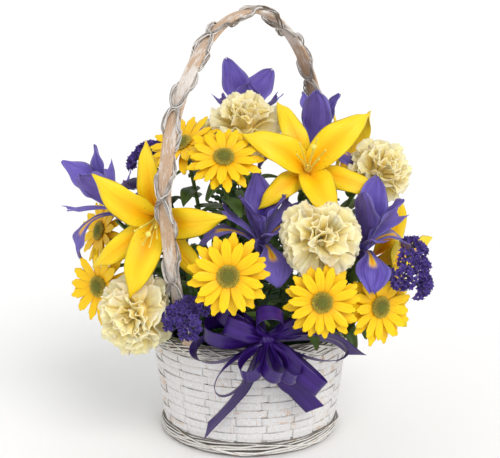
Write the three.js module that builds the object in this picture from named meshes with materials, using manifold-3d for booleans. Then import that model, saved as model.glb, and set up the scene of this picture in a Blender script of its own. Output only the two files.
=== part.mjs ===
// A flower basket arrangement: a white-washed woven basket with a tall laced hoop handle, and in it
// lilies, irises, daisies, carnations, statice and ferns pushed into a block of wet foam, with a
// satin ribbon bow at the front. Millimetres, +Z up, the front towards -Y. The origin is the centre
// of the basket's underside, where it stands.
import * as THREE from 'three';
import { mergeVertices } from 'three/addons/utils/BufferGeometryUtils.js';
import Module from 'manifold-3d';

const wasm = await Module();
wasm.setup();

// Driving dimensions
const BASKET = {
  height: 114, // floor to the top of the rim border
  rimRadius: 98, // middle of the wall at the rim
  footRadius: 84, // middle of the wall at the foot
  wall: 3.2,
  stakes: 18, // upright splints that the weavers pass over and under
  rows: 6, // weavers from foot to rim
  relief: 1.3, // how far a weaver stands out where it passes over a stake
};
const BORDER = { thick: 5, tall: 8, strands: 10, twist: 1.2 }; // half sizes of the twisted borders
const BASE = { radius: 77.5, thick: 4 };
const LINER = { radius: 79, wall: 1.4, height: 96 };
const FOAM = { radius: 72, top: 119, chamfer: 10 };
const HANDLE = {
  turned: THREE.MathUtils.degToRad(55), // of the hoop's plane from the X axis
  top: 414,
  widest: 132, // half width of the hoop, at this height:
  widestAt: 254,
  roundness: 1.92,
  atRim: 102, // from the middle to a leg, level with the basket's rim
  pushed: [[83.5, 40], [90.5, 92], [93, 99], [98.5, 108]], // a leg's end below that, out and up
  strip: 14,
  thick: 3,
};
const LACING = { radius: 1.8, turns: 8, stepsPerTurn: 4, sides: 3, clear: 2.3, fromRim: 128 };
const RIBBON = { width: 17, thick: 0.8 };
const GAP = 0.35; // between pieces that touch
const BLADE_ROOM = { edge: 2, face: 0.6, tip: 1.5 }; // kept clear round a petal or a leaf

// Colours, roughness
const LOOKS = {
  whitewash: [0xe6e3dc, 0.75],
  wood: [0xc9b29c, 0.7],
  cord: [0xb9ada4, 0.85],
  plastic: [0x3a4a3a, 0.4],
  foam: [0x3f6b46, 0.95],
  lilyYellow: [0xf4cb14, 0.5],
  lilyStamen: [0xc9c24a, 0.5],
  irisViolet: [0x5546a8, 0.55],
  daisyYellow: [0xfbd10a, 0.55],
  carnationCream: [0xf3e3a4, 0.7],
  staticePurple: [0x4a2d9c, 0.8],
  leafGreen: [0x2f5a2a, 0.55],
  stemGreen: [0x4f7d3a, 0.55],
  ribbonPurple: [0x41217a, 0.3],
  pick: [0xb08a5a, 0.7],
};

const v3 = (x, y, z) => new THREE.Vector3(x, y, z);
const rad = THREE.MathUtils.degToRad;
const mix = (a, b, t) => a + (b - a) * t;
// A repeatable draw from 0 to 1 for repeat number k of the piece with this seed.
const draw = (seed, k) => {
  const x = Math.sin(seed * 127.1 + k * 311.7) * 43758.5453;
  return x - Math.floor(x);
};
const wobble = (seed, k, size) => (2 * draw(seed, k) - 1) * size;

// ---- solids ----

// A closed set of triangles as a solid, turned right side out.
function solidOf(points, faces) {
  let volume = 0;
  for (const [a, b, c] of faces) volume += points[a].dot(v3(0, 0, 0).crossVectors(points[b], points[c]));
  const turned = volume < 0 ? faces.map(([a, b, c]) => [a, c, b]) : faces;
  return new wasm.Manifold(
    new wasm.Mesh({
      numProp: 3,
      vertProperties: new Float32Array(points.flatMap((p) => [p.x, p.y, p.z])),
      triVerts: new Uint32Array(turned.flat()),
    }),
  );
}

function solidOfGeometry(geometry) {
  const bare = geometry.clone();
  for (const name of ['normal', 'uv']) bare.deleteAttribute(name);
  const merged = mergeVertices(bare, 1e-4);
  const points = [];
  const at = merged.attributes.position;
  for (let i = 0; i < at.count; i++) points.push(v3().fromBufferAttribute(at, i));
  const faces = [];
  for (let i = 0; i < merged.index.count; i += 3)
    faces.push([0, 1, 2].map((k) => merged.index.array[i + k]));
  return solidOf(points, faces.filter(([a, b, c]) => a !== b && b !== c && c !== a));
}

function geometryOf(solid) {
  const mesh = solid.getMesh();
  const geometry = new THREE.BufferGeometry();
  geometry.setAttribute('position', new THREE.BufferAttribute(mesh.vertProperties, 3));
  geometry.setIndex(new THREE.BufferAttribute(mesh.triVerts, 1));
  geometry.computeVertexNormals();
  return geometry;
}

const fuse = (solids) => wasm.Manifold.union(solids);

// A round bar along points, swept with ExtrudeGeometry.
function rod(points, radius, sides, steps) {
  const section = new THREE.Shape(
    Array.from({ length: sides }, (_, k) => {
      const a = (2 * Math.PI * k) / sides;
      return new THREE.Vector2(radius * Math.cos(a), radius * Math.sin(a));
    }),
  );
  const extrudePath = new THREE.CatmullRomCurve3(points);
  return solidOfGeometry(new THREE.ExtrudeGeometry(section, { steps, extrudePath, curveSegments: 1 }));
}

// A flat strip: its middle line, the direction of its width at each point, and its half sizes.
function strip(line, across, halfWidthAt, halfThick) {
  const points = [];
  const faces = [];
  line.forEach((p, i) => {
    const ahead = line[Math.min(i + 1, line.length - 1)].clone().sub(line[Math.max(i - 1, 0)]);
    const side = across[i].clone().addScaledVector(ahead, -across[i].dot(ahead) / ahead.lengthSq());
    side.normalize();
    const up = v3().crossVectors(side, ahead).normalize();
    for (const [a, b] of [[-1, -1], [1, -1], [1, 1], [-1, 1]])
      points.push(p.clone().addScaledVector(side, a * halfWidthAt(i)).addScaledVector(up, b * halfThick));
    if (i === 0) return;
    const n = 4 * (i - 1);
    for (let k = 0; k < 4; k++) {
      const l = (k + 1) % 4;
      faces.push([n + k, n + l, n + 4 + k], [n + l, n + 4 + l, n + 4 + k]);
    }
  });
  const m = points.length - 4;
  faces.push([0, 2, 1], [0, 3, 2], [m, m + 1, m + 2], [m, m + 2, m + 3]);
  return solidOf(points, faces);
}

// A ball stretched along Z, in a local frame.
function ball(frame, centre, radius, tall, across = 6, rings = 4) {
  const geometry = new THREE.SphereGeometry(1, across, rings);
  geometry.rotateX(Math.PI / 2).scale(radius, radius, tall).translate(...centre).applyMatrix4(frame);
  return solidOfGeometry(geometry);
}

// A blade with sharp edges and a thick middle, as a petal or a leaf. Each station has the middle of
// the blade, the half width there, and the directions across it and out of its upper face. The two
// ends are points, and both faces are split into triangles alike. A ridged blade is flat below.
function blade(stations, thick, grow, ridged = false) {
  const last = stations.length - 1;
  const room = grow > 0 ? BLADE_ROOM : { edge: 0, face: 0, tip: 0.01 };
  const points = [];
  const add = (p) => points.push(p) - 1;
  const rings = stations.map(({ at, half, across, up, cup = 0 }, i) => {
    if (i === 0 || i === last) {
      const other = stations[i === 0 ? 1 : last - 1].at;
      return [add(at.clone().add(at.clone().sub(other).setLength(room.tip)))];
    }
    const lift = thick / 2 + room.face;
    const wide = half + room.edge;
    const edge = at.clone().addScaledVector(up, (cup * wide) / half);
    if (ridged) edge.addScaledVector(up, -lift);
    const ring = [at.clone().addScaledVector(up, lift), edge.clone().addScaledVector(across, wide)];
    if (!ridged) ring.push(at.clone().addScaledVector(up, -lift));
    ring.push(edge.clone().addScaledVector(across, -wide));
    return ring.map(add);
  });
  const faces = [];
  const sides = ridged ? 3 : 4;
  for (let i = 0; i < last; i++)
    for (let k = 0; k < sides; k++) {
      const l = (k + 1) % sides;
      const [a, b] = [rings[i], rings[i + 1]];
      if (a.length === 1) faces.push([a[0], b[l], b[k]]);
      else if (b.length === 1) faces.push([a[k], a[l], b[0]]);
      else if (k % 2 === 0) faces.push([a[k], a[l], b[l]], [a[k], b[l], b[k]]);
      else faces.push([a[k], a[l], b[k]], [a[l], b[l], b[k]]);
    }
  return solidOf(points, faces);
}

// A star, thick in its middle and sharp along its rim of points.
function star(middle, axis, half, rim) {
  const ends = [half, -half].map((h) => middle.clone().addScaledVector(axis, h));
  const faces = rim.flatMap((_, i) => {
    const [a, b] = [i + 2, ((i + 1) % rim.length) + 2];
    return [[0, a, b], [1, b, a]];
  });
  return solidOf([...ends, ...rim], faces);
}

// A surface through rings of points, each ring with as many points. A single point closes an end,
// and without one the last ring joins the first.
function skin(rings) {
  const points = rings.flat();
  const starts = rings.map((_, i) => rings.slice(0, i).reduce((n, ring) => n + ring.length, 0));
  const faces = [];
  const loop = rings[0].length > 1;
  for (let i = 0; i < rings.length - (loop ? 0 : 1); i++) {
    const next = (i + 1) % rings.length;
    const count = Math.max(rings[i].length, rings[next].length);
    const at = (ring, k) => starts[ring] + (rings[ring].length > 1 ? k % count : 0);
    for (let k = 0; k < count; k++) {
      const [a, b, c, d] = [at(i, k), at(i, k + 1), at(next, k + 1), at(next, k)];
      if (a !== b) faces.push([a, b, c]);
      if (c !== d) faces.push([a, c, d]);
    }
  }
  return solidOf(points, faces);
}

// A local frame at a point, its Z along facing, its X level.
function frameAt(at, facing, roll = 0) {
  const z = v3(...facing).normalize();
  const x = z.z > 0.999 ? v3(1, 0, 0) : v3().crossVectors(v3(0, 0, 1), z).normalize();
  const y = v3().crossVectors(z, x);
  return new THREE.Matrix4()
    .makeBasis(x, y, z)
    .multiply(new THREE.Matrix4().makeRotationZ(roll))
    .setPosition(...at);
}

// The stations of a petal that leaves the frame's axis at angle from and ends at angle to, both
// measured from the axis, bending mostly towards its tip where power is high.
function petalStations(frame, turn, { root, base = 0, length, from, to, power, shares, widthAt, cupAt }) {
  const substeps = 60;
  const out = v3(Math.cos(turn), Math.sin(turn), 0);
  const across = v3(-Math.sin(turn), Math.cos(turn), 0);
  const axis = v3(0, 0, 1);
  const rotation = new THREE.Matrix4().extractRotation(frame);
  const at = out.clone().multiplyScalar(root).addScaledVector(axis, base);
  const stations = [];
  let next = 0;
  for (let i = 0; i <= substeps; i++) {
    const s = i / substeps;
    const angle = mix(from, to, s ** power);
    if (next < shares.length && s >= shares[next] - 1e-9) {
      const up = axis.clone().multiplyScalar(Math.sin(angle)).addScaledVector(out, -Math.cos(angle));
      stations.push({
        at: at.clone().applyMatrix4(frame),
        half: widthAt(s),
        across: across.clone().applyMatrix4(rotation),
        up: up.applyMatrix4(rotation),
        cup: cupAt ? cupAt(s) : 0,
      });
      next++;
    }
    at.addScaledVector(out, (Math.sin(angle) * length) / substeps);
    at.addScaledVector(axis, (Math.cos(angle) * length) / substeps);
  }
  return stations;
}

// ---- the basket ----

const borderTop = 2 * BORDER.tall + BORDER.twist / 2;
const WALL = { foot: borderTop + GAP, rim: BASKET.height - borderTop - 1 - GAP };
const wallRadius = (z) => mix(BASKET.footRadius, BASKET.rimRadius, z / BASKET.height);

// A ring of quads round the axis, from a profile function of the ring's own angle and the turn.
function ring(columns, sections, pointAt) {
  const points = [];
  const faces = [];
  for (let i = 0; i < columns; i++)
    for (let k = 0; k < sections; k++) {
      points.push(pointAt((2 * Math.PI * i) / columns, k, i));
      const [j, l] = [(i + 1) % columns, (k + 1) % sections];
      const [a, b, c, d] = [i * sections + k, j * sections + k, j * sections + l, i * sections + l];
      faces.push([a, b, c], [a, c, d]);
    }
  return solidOf(points, faces);
}

// The woven wall: at each stake a weaver passes over in one row and under in the next, and the
// outside stands out and in by that rule.
function basketWall(grow) {
  const columns = 2 * BASKET.stakes;
  const levels = BASKET.rows + 2;
  const rowTall = (WALL.rim - WALL.foot) / BASKET.rows;
  return ring(columns, levels + 2, (turn, k, i) => {
    if (k >= levels) {
      const z = k === levels ? WALL.rim : WALL.foot;
      const inner = wallRadius(z) - BASKET.wall / 2 - grow;
      return v3(inner * Math.cos(turn), inner * Math.sin(turn), z);
    }
    const row = k - 1;
    const end = row < 0 || row >= BASKET.rows;
    const z = end ? (row < 0 ? WALL.foot : WALL.rim) : WALL.foot + (row + 0.5) * rowTall;
    const onStake = i % 2 === 0;
    const over = (i / 2 + row) % 2 === 0 ? 1 : -1;
    const out = end || !onStake ? 0 : over * BASKET.relief;
    const r = wallRadius(z) + BASKET.wall / 2 + out + grow;
    return v3(r * Math.cos(turn), r * Math.sin(turn), z);
  });
}

// A border of twisted rods, its strands as ridges that run slantwise round the ring.
function border(middle, z, grow) {
  const columns = 3 * BORDER.strands;
  const sections = 6;
  return ring(columns, sections, (turn, k) => {
    const a = (2 * Math.PI * (k + 0.5)) / sections;
    const ridge = BORDER.twist * Math.cos(BORDER.strands * turn - 2 * a) + grow;
    const r = middle + (BORDER.thick + ridge) * Math.cos(a);
    const up = z + (BORDER.tall + ridge) * Math.sin(a);
    return v3(r * Math.cos(turn), r * Math.sin(turn), Math.max(up, 0));
  });
}

const rimBorder = (grow) => border(BASKET.rimRadius - 0.5, BASKET.height - BORDER.tall - 1, grow);
const footBorder = (grow) => border(BASKET.footRadius + 0.5, BORDER.tall, grow);

function turned(profile, sides) {
  return solidOfGeometry(
    new THREE.LatheGeometry(profile.map(([r, z]) => new THREE.Vector2(r, z)), sides).rotateX(Math.PI / 2),
  );
}

const basketBase = (grow) => turned(
  [[0, 0], [BASE.radius, 0], [BASE.radius, BASE.thick + grow], [0, BASE.thick + grow]], 24,
);

function liner(grow) {
  const floor = BASE.thick + GAP;
  const { radius, wall, height } = LINER;
  const foot = radius - 6;
  return turned([
    [0, floor], [foot + grow, floor], [radius + grow, height], [radius - wall, height],
    [foot - wall, floor + wall + grow], [0, floor + wall + grow],
  ], 20);
}

function foam(grow) {
  const floor = BASE.thick + LINER.wall + 2 * GAP;
  const { radius, top, chamfer } = FOAM;
  return turned([
    [0, floor], [radius - 6, floor], [radius + grow, LINER.height],
    [radius + grow, top - chamfer], [radius - chamfer, top + grow], [0, top + grow],
  ], 14);
}

// ---- the handle ----

// The hoop's middle line in its own plane, from its left foot over the top to its right foot. The
// legs draw in towards the rim, and their ends are pushed down between the wall and the liner.
function hoopLine(steps) {
  const { top, widest, widestAt, roundness, atRim } = HANDLE;
  const power = 2 / roundness;
  const arch = Array.from({ length: 2 * steps + 1 }, (_, i) => {
    const t = ((i - steps) / steps) * (Math.PI / 2);
    const u = Math.sign(t) * widest * Math.abs(Math.sin(t)) ** power;
    return [u, widestAt + (top - widestAt) * Math.max(0, Math.cos(t)) ** power];
  });
  const drawn = [125, 160, 205].map((z) => {
    const down = (widestAt - z) / (widestAt - BASKET.height);
    return [widest - (widest - atRim) * down ** 1.5, z];
  });
  const leg = [...HANDLE.pushed, ...drawn];
  const line = [...leg.map(([u, z]) => [-u, z]), ...arch, ...leg.map(([u, z]) => [u, z]).reverse()];
  const [c, s] = [Math.cos(HANDLE.turned), Math.sin(HANDLE.turned)];
  return line.map(([u, z]) => v3(u * c, u * s, z));
}

const hoopAcross = v3(-Math.sin(HANDLE.turned), Math.cos(HANDLE.turned), 0);

function handleHoop(grow) {
  const line = hoopLine(7);
  const { strip: wide, thick } = HANDLE;
  return strip(line, line.map(() => hoopAcross), () => wide / 2 + grow, thick / 2 + grow);
}

// Two cords wound round the hoop opposite ways, crossing on its outer and inner faces in turn.
function handleLacing(grow) {
  const curve = new THREE.CatmullRomCurve3(hoopLine(7), false, 'catmullrom', 0);
  curve.arcLengthDivisions = 400;
  const { radius, turns, sides, clear, fromRim } = LACING;
  const skip = fromRim / curve.getLength();
  const steps = turns * LACING.stepsPerTurn;
  const wide = HANDLE.strip / 2 + radius + clear;
  const deep = HANDLE.thick / 2 + radius + clear;
  const flat = (x) => Math.sign(x) * Math.abs(x) ** 0.45;
  const cords = [1, -1].map((hand) => {
    const points = Array.from({ length: steps + 1 }, (_, i) => {
      const t = mix(skip, 1 - skip, i / steps);
      const out = v3().crossVectors(curve.getTangentAt(t), hoopAcross);
      const turn = (2 * Math.PI * turns * (i + 0.5)) / steps;
      return curve.getPointAt(t)
        .addScaledVector(hoopAcross, hand * wide * flat(Math.cos(turn)))
        .addScaledVector(out, deep * flat(Math.sin(turn)));
    });
    return rod(points, radius + grow, sides, steps);
  });
  return fuse(cords);
}

// ---- stems ----

const ENTRY = { share: 0.42, most: 56, z: 94 }; // where a stem ends inside the foam

// From inside the foam to a flower's underside, arriving along the way that the flower faces.
function stemLine(at, facing, reach = 26) {
  const head = v3(...at);
  const away = Math.hypot(head.x, head.y);
  const share = Math.min(ENTRY.share, ENTRY.most / away);
  const foot = v3(head.x * share, head.y * share, ENTRY.z);
  const back = v3(...facing).normalize().multiplyScalar(-reach);
  const bend = foot.clone().lerp(head, 0.5).add(v3(0, 0, 6));
  return new THREE.CubicBezierCurve3(foot, bend, head.clone().add(back), head).getPoints(6);
}

const stem = (line, radius, grow, sides = 4) => rod(line, radius + grow, sides, 4);

// A point this far behind a flower's middle, where its stem ends.
const behind = (at, facing, far) => v3(...at).addScaledVector(v3(...facing).normalize(), -far).toArray();

// A lance-shaped leaf that leaves a point along its direction and arches over downwards.
function leaf(at, direction, length, half, grow) {
  const widths = [0, 0.85, 1, 0];
  const shares = [0, 0.25, 0.6, 1];
  const stations = petalStations(frameAt(at, direction), rad(-90), {
    root: 0,
    base: -5,
    length,
    from: rad(4),
    to: rad(75),
    power: 1.2,
    shares,
    widthAt: (s) => half * widths[shares.findIndex((x) => x >= s - 1e-9)],
    cupAt: () => half * 0.25,
  });
  return blade(stations, 1.6, grow);
}

// ---- lilies ----

// Lengths and half widths of the six petals, the core that they meet in, and the filaments.
const LILY = { length: 86, petal: 15.5, sepal: 11.5, thick: 1.8, core: 6, filament: 50, pistil: 56 };
// An inner petal lies over the outer ones beside it, so it leaves the axis at a smaller angle.
const LILY_BEND = { petal: [rad(24), rad(112)], sepal: [rad(42), rad(128)] };
const LILY_SHARES = [0, 0.2, 0.45, 0.75, 1];

const lilyWidth = (s) => Math.sin(Math.PI * s ** 0.82) ** 0.9;

function lilyTepals({ at, facing, turns, seed, size = 1, open = 1, shares = [] }, grow) {
  const frame = frameAt(at, facing);
  const tepals = turns.map((turn, k) => {
    const outer = k % 2 === 1;
    const half = outer ? LILY.sepal : LILY.petal;
    const [from, to] = outer ? LILY_BEND.sepal : LILY_BEND.petal;
    const stations = petalStations(frame, rad(turn), {
      root: 2,
      base: outer ? -1 : 2,
      length: LILY.length * size * (shares[k] ?? 1) * (1 + wobble(seed, k, 0.05)),
      from: from * open,
      to: to * open + wobble(seed, k + 20, 0.12),
      power: 1.1,
      shares: LILY_SHARES,
      widthAt: (s) => half * size * mix(0.5, 1, open) * lilyWidth(s),
      cupAt: (s) => (outer ? -1.5 : half * 0.34 * (1 - s)),
    });
    return blade(stations, LILY.thick, grow);
  });
  return fuse([ball(frame, [0, 0, 1], LILY.core + grow, LILY.core + grow), ...tepals]);
}

const FILAMENT = [[0, 0], [0.85, 0.9], [0.94, 2.2], [1.04, 0]]; // share of length, half width

// Six filaments with their anthers and a longer pistil, bowing outwards from the throat.
function lilyStamens({ at, facing, turns, seed, size = 1, open = 1 }, grow) {
  const frame = frameAt(at, facing);
  const rotation = new THREE.Matrix4().extractRotation(frame);
  const foot = LILY.core + 4 + GAP;
  const filament = (k, turn, { start, spread, length, wide, thick }) => {
    const out = v3(Math.cos(turn), Math.sin(turn), 0);
    const stations = FILAMENT.map(([s, half]) => {
      const local = out.clone().multiplyScalar(start + spread * s ** 1.4);
      local.z = foot + (length + wobble(seed, k + 9, 2) - foot) * s;
      return {
        at: local.applyMatrix4(frame),
        half: half * wide,
        across: v3(-out.y, out.x, 0).applyMatrix4(rotation),
        up: out.clone().applyMatrix4(rotation),
      };
    });
    return blade(stations, thick, grow / 2, true);
  };
  const parts = turns.map((turn, k) => filament(k, rad(turn + 30), {
    start: 2.6,
    spread: 15 * open + wobble(seed, k, 3),
    length: LILY.filament * size,
    wide: 1,
    thick: 1.8,
  }));
  parts.push(filament(6, rad(turns[0] + 30), {
    start: 0,
    spread: 3,
    length: LILY.pistil * size,
    wide: 1.3,
    thick: 2.2,
  }));
  parts.push(ball(frame, [0, 0, foot], 4 + grow, 3 + grow));
  return fuse(parts);
}

// A lily's stem, with a lance-shaped leaf that leaves it half way up.
function lilyStem({ at, facing, leafWay, leafLength }, grow) {
  const line = stemLine(behind(at, facing, LILY.core + GAP), facing, 34);
  return fuse([stem(line, 2.6, grow), leaf(line[3].toArray(), leafWay, leafLength, 6.5, grow)]);
}

// ---- irises ----

// Lengths of the three kinds of petal, and the radius and half height of the tube and the sheath.
const IRIS = {
  standard: 65, fall: 69, style: 45, tube: 6.5, tubeTall: 11, sheath: 4.6, sheathHalf: 14,
};

const smooth = (a, b, x) => THREE.MathUtils.smoothstep(x, a, b);
const standardWidth = (s) => 13 * Math.sin(Math.PI * s ** 1.3) ** 0.75;
const fallWidth = (s) => mix(4.6, 16.5, smooth(0.38, 0.7, s)) * Math.sqrt(1 - smooth(0.72, 1, s));
const styleWidth = (s) => (s > 0.97 ? 0 : mix(3, 8.5, s));

// Three upright standards, and between them three falls with a narrow haft and a broad drooping
// blade, each under the petal-like arm of the style.
function irisPetals({ at, facing, roll = 0, open = 1, seed }, grow) {
  const frame = frameAt(at, facing, roll);
  const blades = [];
  for (let k = 0; k < 3; k++) {
    const turn = rad(120 * k) + wobble(seed, k + 12, 0.12);
    const standard = petalStations(frame, rad(120 * k + 60) + wobble(seed, k, 0.12), {
      root: 3,
      base: 4,
      length: IRIS.standard * (1 + wobble(seed, k + 6, 0.06)),
      from: rad(6),
      to: rad(28 * open) + wobble(seed, k + 3, 0.15),
      power: 1,
      shares: [0, 0.3, 0.7, 1],
      widthAt: standardWidth,
      cupAt: (s) => 2.5 * Math.sin(Math.PI * s),
    });
    const fall = petalStations(frame, turn, {
      root: 3,
      base: -1,
      length: IRIS.fall,
      from: rad(44),
      to: rad(160) + wobble(seed, k + 9, 0.2),
      power: 1.1,
      shares: [0, 0.4, 0.68, 0.86, 1],
      widthAt: fallWidth,
    });
    const style = petalStations(frame, turn, {
      root: 3,
      base: 6,
      length: IRIS.style,
      from: rad(30),
      to: rad(76),
      power: 0.9,
      shares: [0, 0.7, 1],
      widthAt: styleWidth,
      cupAt: (s) => -2 * Math.sin(Math.PI * s),
    });
    blades.push(blade(standard, 1.6, grow), blade(fall, 1.8, grow), blade(style, 1.6, grow));
  }
  const tube = ball(frame, [0, 0, 0], IRIS.tube + grow, IRIS.tubeTall + grow);
  return fuse([tube, ...blades]);
}

// The stalk, with the green sheath that the flower comes out of.
function irisStem({ at, facing }, grow) {
  const end = behind(at, facing, IRIS.tubeTall + GAP);
  const { sheath, sheathHalf } = IRIS;
  const cover = ball(frameAt(end, facing), [0, 0, -sheathHalf], sheath + grow, sheathHalf + grow, 5, 4);
  return fuse([stem(stemLine(end, facing, 36), 2.6, grow), cover]);
}

// ---- daisies ----

const DAISY = {
  eye: 9, eyeTall: 4.2, eyeUp: 2.6, rays: 10, long: 38, short: 33, half: 5.8, notch: 13, middle: 9,
  hole: 3.6, thick: 2,
};
// Two layers of rays round the head's middle, as one skin with a hole that the stalk passes through.
// Each ray has three columns of points: the notch before it and the two corners of its blunt tip.
function daisyRays({ at, facing, size = 1, seed }, grow) {
  const frame = frameAt(at, facing);
  const { rays, long, short, half, notch, middle, hole, thick } = DAISY;
  const ringOf = (pointAt) => Array.from({ length: 3 * rays }, (_, i) => {
    const [r, turn, z] = pointAt(Math.floor(i / 3), i % 3);
    return v3(r * Math.cos(turn), r * Math.sin(turn), z).applyMatrix4(frame);
  });
  const even = (r, z) => ringOf((k, m) => [r, (2 * Math.PI * (k + m / 3)) / rays, z]);
  const layer = (reach, z, tilt, shift) => ringOf((k, m) => {
    const seeds = 50 * shift + k;
    const far = m === 0 ? notch * size + grow : (reach + wobble(seed, seeds, 1.6)) * size + grow;
    const corner = Math.asin((half * size + grow) / far);
    const turn = (2 * Math.PI * (k + 0.5 + shift)) / rays + [-Math.PI / rays, -corner, corner][m];
    return [far, turn, z + far * (tilt + wobble(seed, seeds + 20, 0.05))];
  });
  return skin([
    even(hole + grow, -thick * 1.5 - grow), layer(long, -thick, -0.03, 0), even(middle * size, -thick / 2),
    layer(short, 0, 0.16, 0.5), even(hole + grow, thick / 2 + grow),
  ]);
}

// A branched stalk that carries one or more heads, each ending in its domed eye.
function daisySpray(heads, grow) {
  const parts = heads.map(({ at, facing, size = 1 }, k) => {
    const frame = frameAt(at, facing);
    const line = stemLine(at, facing, 22);
    line.push(v3(0, 0, DAISY.eyeUp + 1).applyMatrix4(frame));
    if (k > 0) {
      const first = stemLine(heads[0].at, heads[0].facing, 22);
      line.splice(0, 2, first[1].clone(), first[2].clone().lerp(line[2], 0.3));
    }
    const radius = DAISY.eye * size + grow;
    const [low, top] = [DAISY.eyeUp - grow, DAISY.eyeUp + DAISY.eyeTall + grow];
    const dome = [[0, low], [radius, low], [radius * 0.8, mix(low, top, 0.7)], [0, top]];
    const eye = new THREE.LatheGeometry(dome.map(([r, z]) => new THREE.Vector2(r, z)), 7)
      .rotateX(Math.PI / 2).applyMatrix4(frame);
    return fuse([rod(line, 2.1 + grow, 3, 5), solidOfGeometry(eye)]);
  });
  return fuse(parts);
}

// ---- carnations ----

const CARNATION = {
  petals: 6, core: 16, coreUp: 4, calyx: 28,
  layers: [[106, 38], [78, 37.5], [51, 35], [25, 31]], // of each: its angle from the axis, its reach
};
const FRILL = [0.8, 1, 0.94]; // how far the rim reaches at the notch and along one petal

// A head of frilled layers as one skin: it goes out to each layer's rim and back in to the core.
function carnationHead({ at, facing, size = 1, seed }, grow) {
  const frame = frameAt(at, facing);
  const { petals, layers, core, coreUp } = CARNATION;
  const columns = petals * FRILL.length;
  const place = (r, lean, turn) => v3(
    r * Math.sin(lean) * Math.cos(turn), r * Math.sin(lean) * Math.sin(turn), coreUp + r * Math.cos(lean),
  ).applyMatrix4(frame);
  const turnOf = (i) => (2 * Math.PI * i) / columns;
  const ringOf = (pointAt) => Array.from({ length: columns }, (_, i) => pointAt(i, turnOf(i)));
  const between = (lean) => ringOf((i, turn) => place(core * size + grow, rad(lean), turn));
  const rings = [[place(core * size + grow, Math.PI, 0)], between(122)];
  layers.forEach(([lean, reach], n) => {
    rings.push(ringOf((i, turn) => {
      const share = FRILL[(i + 2 * n) % FRILL.length];
      const far = reach * share * size + wobble(seed + n, i, 1.2) + grow;
      return place(far, rad(lean) + wobble(seed + n, i + 60, 0.14) * share, turn);
    }));
    const next = layers[n + 1] ? (lean + layers[n + 1][0]) / 2 : lean * 0.45;
    rings.push(between(next));
  });
  rings.push([place(core * size + grow, 0, 0)]);
  return skin(rings);
}

// The stalk and the calyx, a green cup that ends under the head.
function carnationStem({ at, facing, size = 1 }, grow) {
  const end = behind(at, facing, (CARNATION.core - CARNATION.coreUp) * size + GAP);
  const calyx = new THREE.CylinderGeometry(7.5 + grow, 4 + grow, CARNATION.calyx, 6)
    .rotateX(Math.PI / 2).translate(0, 0, -CARNATION.calyx / 2 - grow).applyMatrix4(frameAt(end, facing));
  return fuse([stem(stemLine(behind(end, facing, 6), facing, 28), 2.3, grow), solidOfGeometry(calyx)]);
}

// ---- statice ----

const GOLDEN = 2.4; // the golden angle, by which each twig turns from the last
// How far apart the tufts stand, and the reach and the height of a tuft's points and notches.
const STATICE_TUFT = { twigs: 5, apart: 12, points: 4, tip: [9, 6], notch: [4.6, 2], half: 5 };

// A stalk that forks into twigs, each ending in a tuft of papery flowers.
function statice({ at, facing, size = 1, seed }, grow) {
  const frame = frameAt(at, facing);
  const parts = [stem(stemLine(behind(at, facing, 6), facing, 24), 2, grow, 3)];
  const root = v3(0, 0, -9);
  for (let k = 0; k < STATICE_TUFT.twigs; k++) {
    const turn = GOLDEN * k;
    const spread = STATICE_TUFT.apart * size * Math.sqrt(k);
    const tip = v3(spread * Math.cos(turn), spread * Math.sin(turn), 14 - 0.25 * spread);
    const twig = [root, root.clone().lerp(tip, 0.5), tip].map((p) => p.clone().applyMatrix4(frame));
    parts.push(rod(twig, 1.1 + grow, 3, 1));
    const lean = frameAt(tip.toArray(), tip.clone().sub(v3(0, 0, -12)).toArray());
    const tuft = (x, y, z) => v3(x, y, z).applyMatrix4(lean).applyMatrix4(frame);
    const rim = Array.from({ length: 2 * STATICE_TUFT.points }, (_, m) => {
      const a = (Math.PI * m) / STATICE_TUFT.points;
      const [reach, up] = m % 2 ? STATICE_TUFT.notch : STATICE_TUFT.tip;
      const r = reach * (1 + wobble(seed, 8 * k + m, 0.15)) + grow;
      return tuft(r * Math.cos(a), r * Math.sin(a), up);
    });
    const axis = tuft(0, 0, 1).sub(tuft(0, 0, 0));
    parts.push(star(tuft(0, 0, 3), axis, STATICE_TUFT.half + grow, rim));
  }
  return fuse(parts);
}

// ---- foliage ----

// A fern frond: one arched blade along its rib, cut to the rib between its leaflets. Its leaflets
// are longest a third of the way along.
function frond(curve, side, { from, pairs, half }, grow) {
  const points = [];
  const faces = [];
  const add = (p) => points.push(p) - 1;
  const step = (t) => {
    const at = curve.getPointAt(t);
    const up = v3().crossVectors(curve.getTangentAt(t), side).normalize();
    const off = (a, b) => add(at.clone().addScaledVector(side, a).addScaledVector(up, b));
    const [wide, deep] = [1.6 + grow, 0.9 + grow];
    return { up, top: off(0, deep), under: off(0, -deep), right: off(wide, 0), left: off(-wide, 0) };
  };
  let last = step(from);
  faces.push([last.top, last.under, last.right], [last.top, last.left, last.under]);
  for (let i = 1; i < pairs; i++) {
    const t = mix(from, 1, i / pairs);
    const rib = step(t);
    const far = half * Math.sin(Math.PI * ((i - 0.5) / pairs) ** 0.8) ** 0.7 + grow;
    const ahead = curve.getPointAt(Math.min(1, t + (0.35 * far) / curve.getLength()));
    for (const [k, name] of [[1, 'right'], [-1, 'left']]) {
      const tip = add(ahead.clone().addScaledVector(side, k * far).addScaledVector(rib.up, -0.16 * far));
      const [a, b] = [last[name], rib[name]];
      const above = [[last.top, a, tip], [last.top, tip, rib.top], [rib.top, tip, b]];
      const below = [[last.under, tip, a], [last.under, rib.under, tip], [rib.under, b, tip]];
      for (const [p, q, r] of [...above, ...below]) faces.push(k > 0 ? [p, q, r] : [p, r, q]);
    }
    last = rib;
  }
  const end = add(curve.getPointAt(1));
  faces.push([last.top, last.right, end], [last.under, end, last.right]);
  faces.push([last.top, end, last.left], [last.under, last.left, end]);
  return solidOf(points, faces);
}

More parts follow.
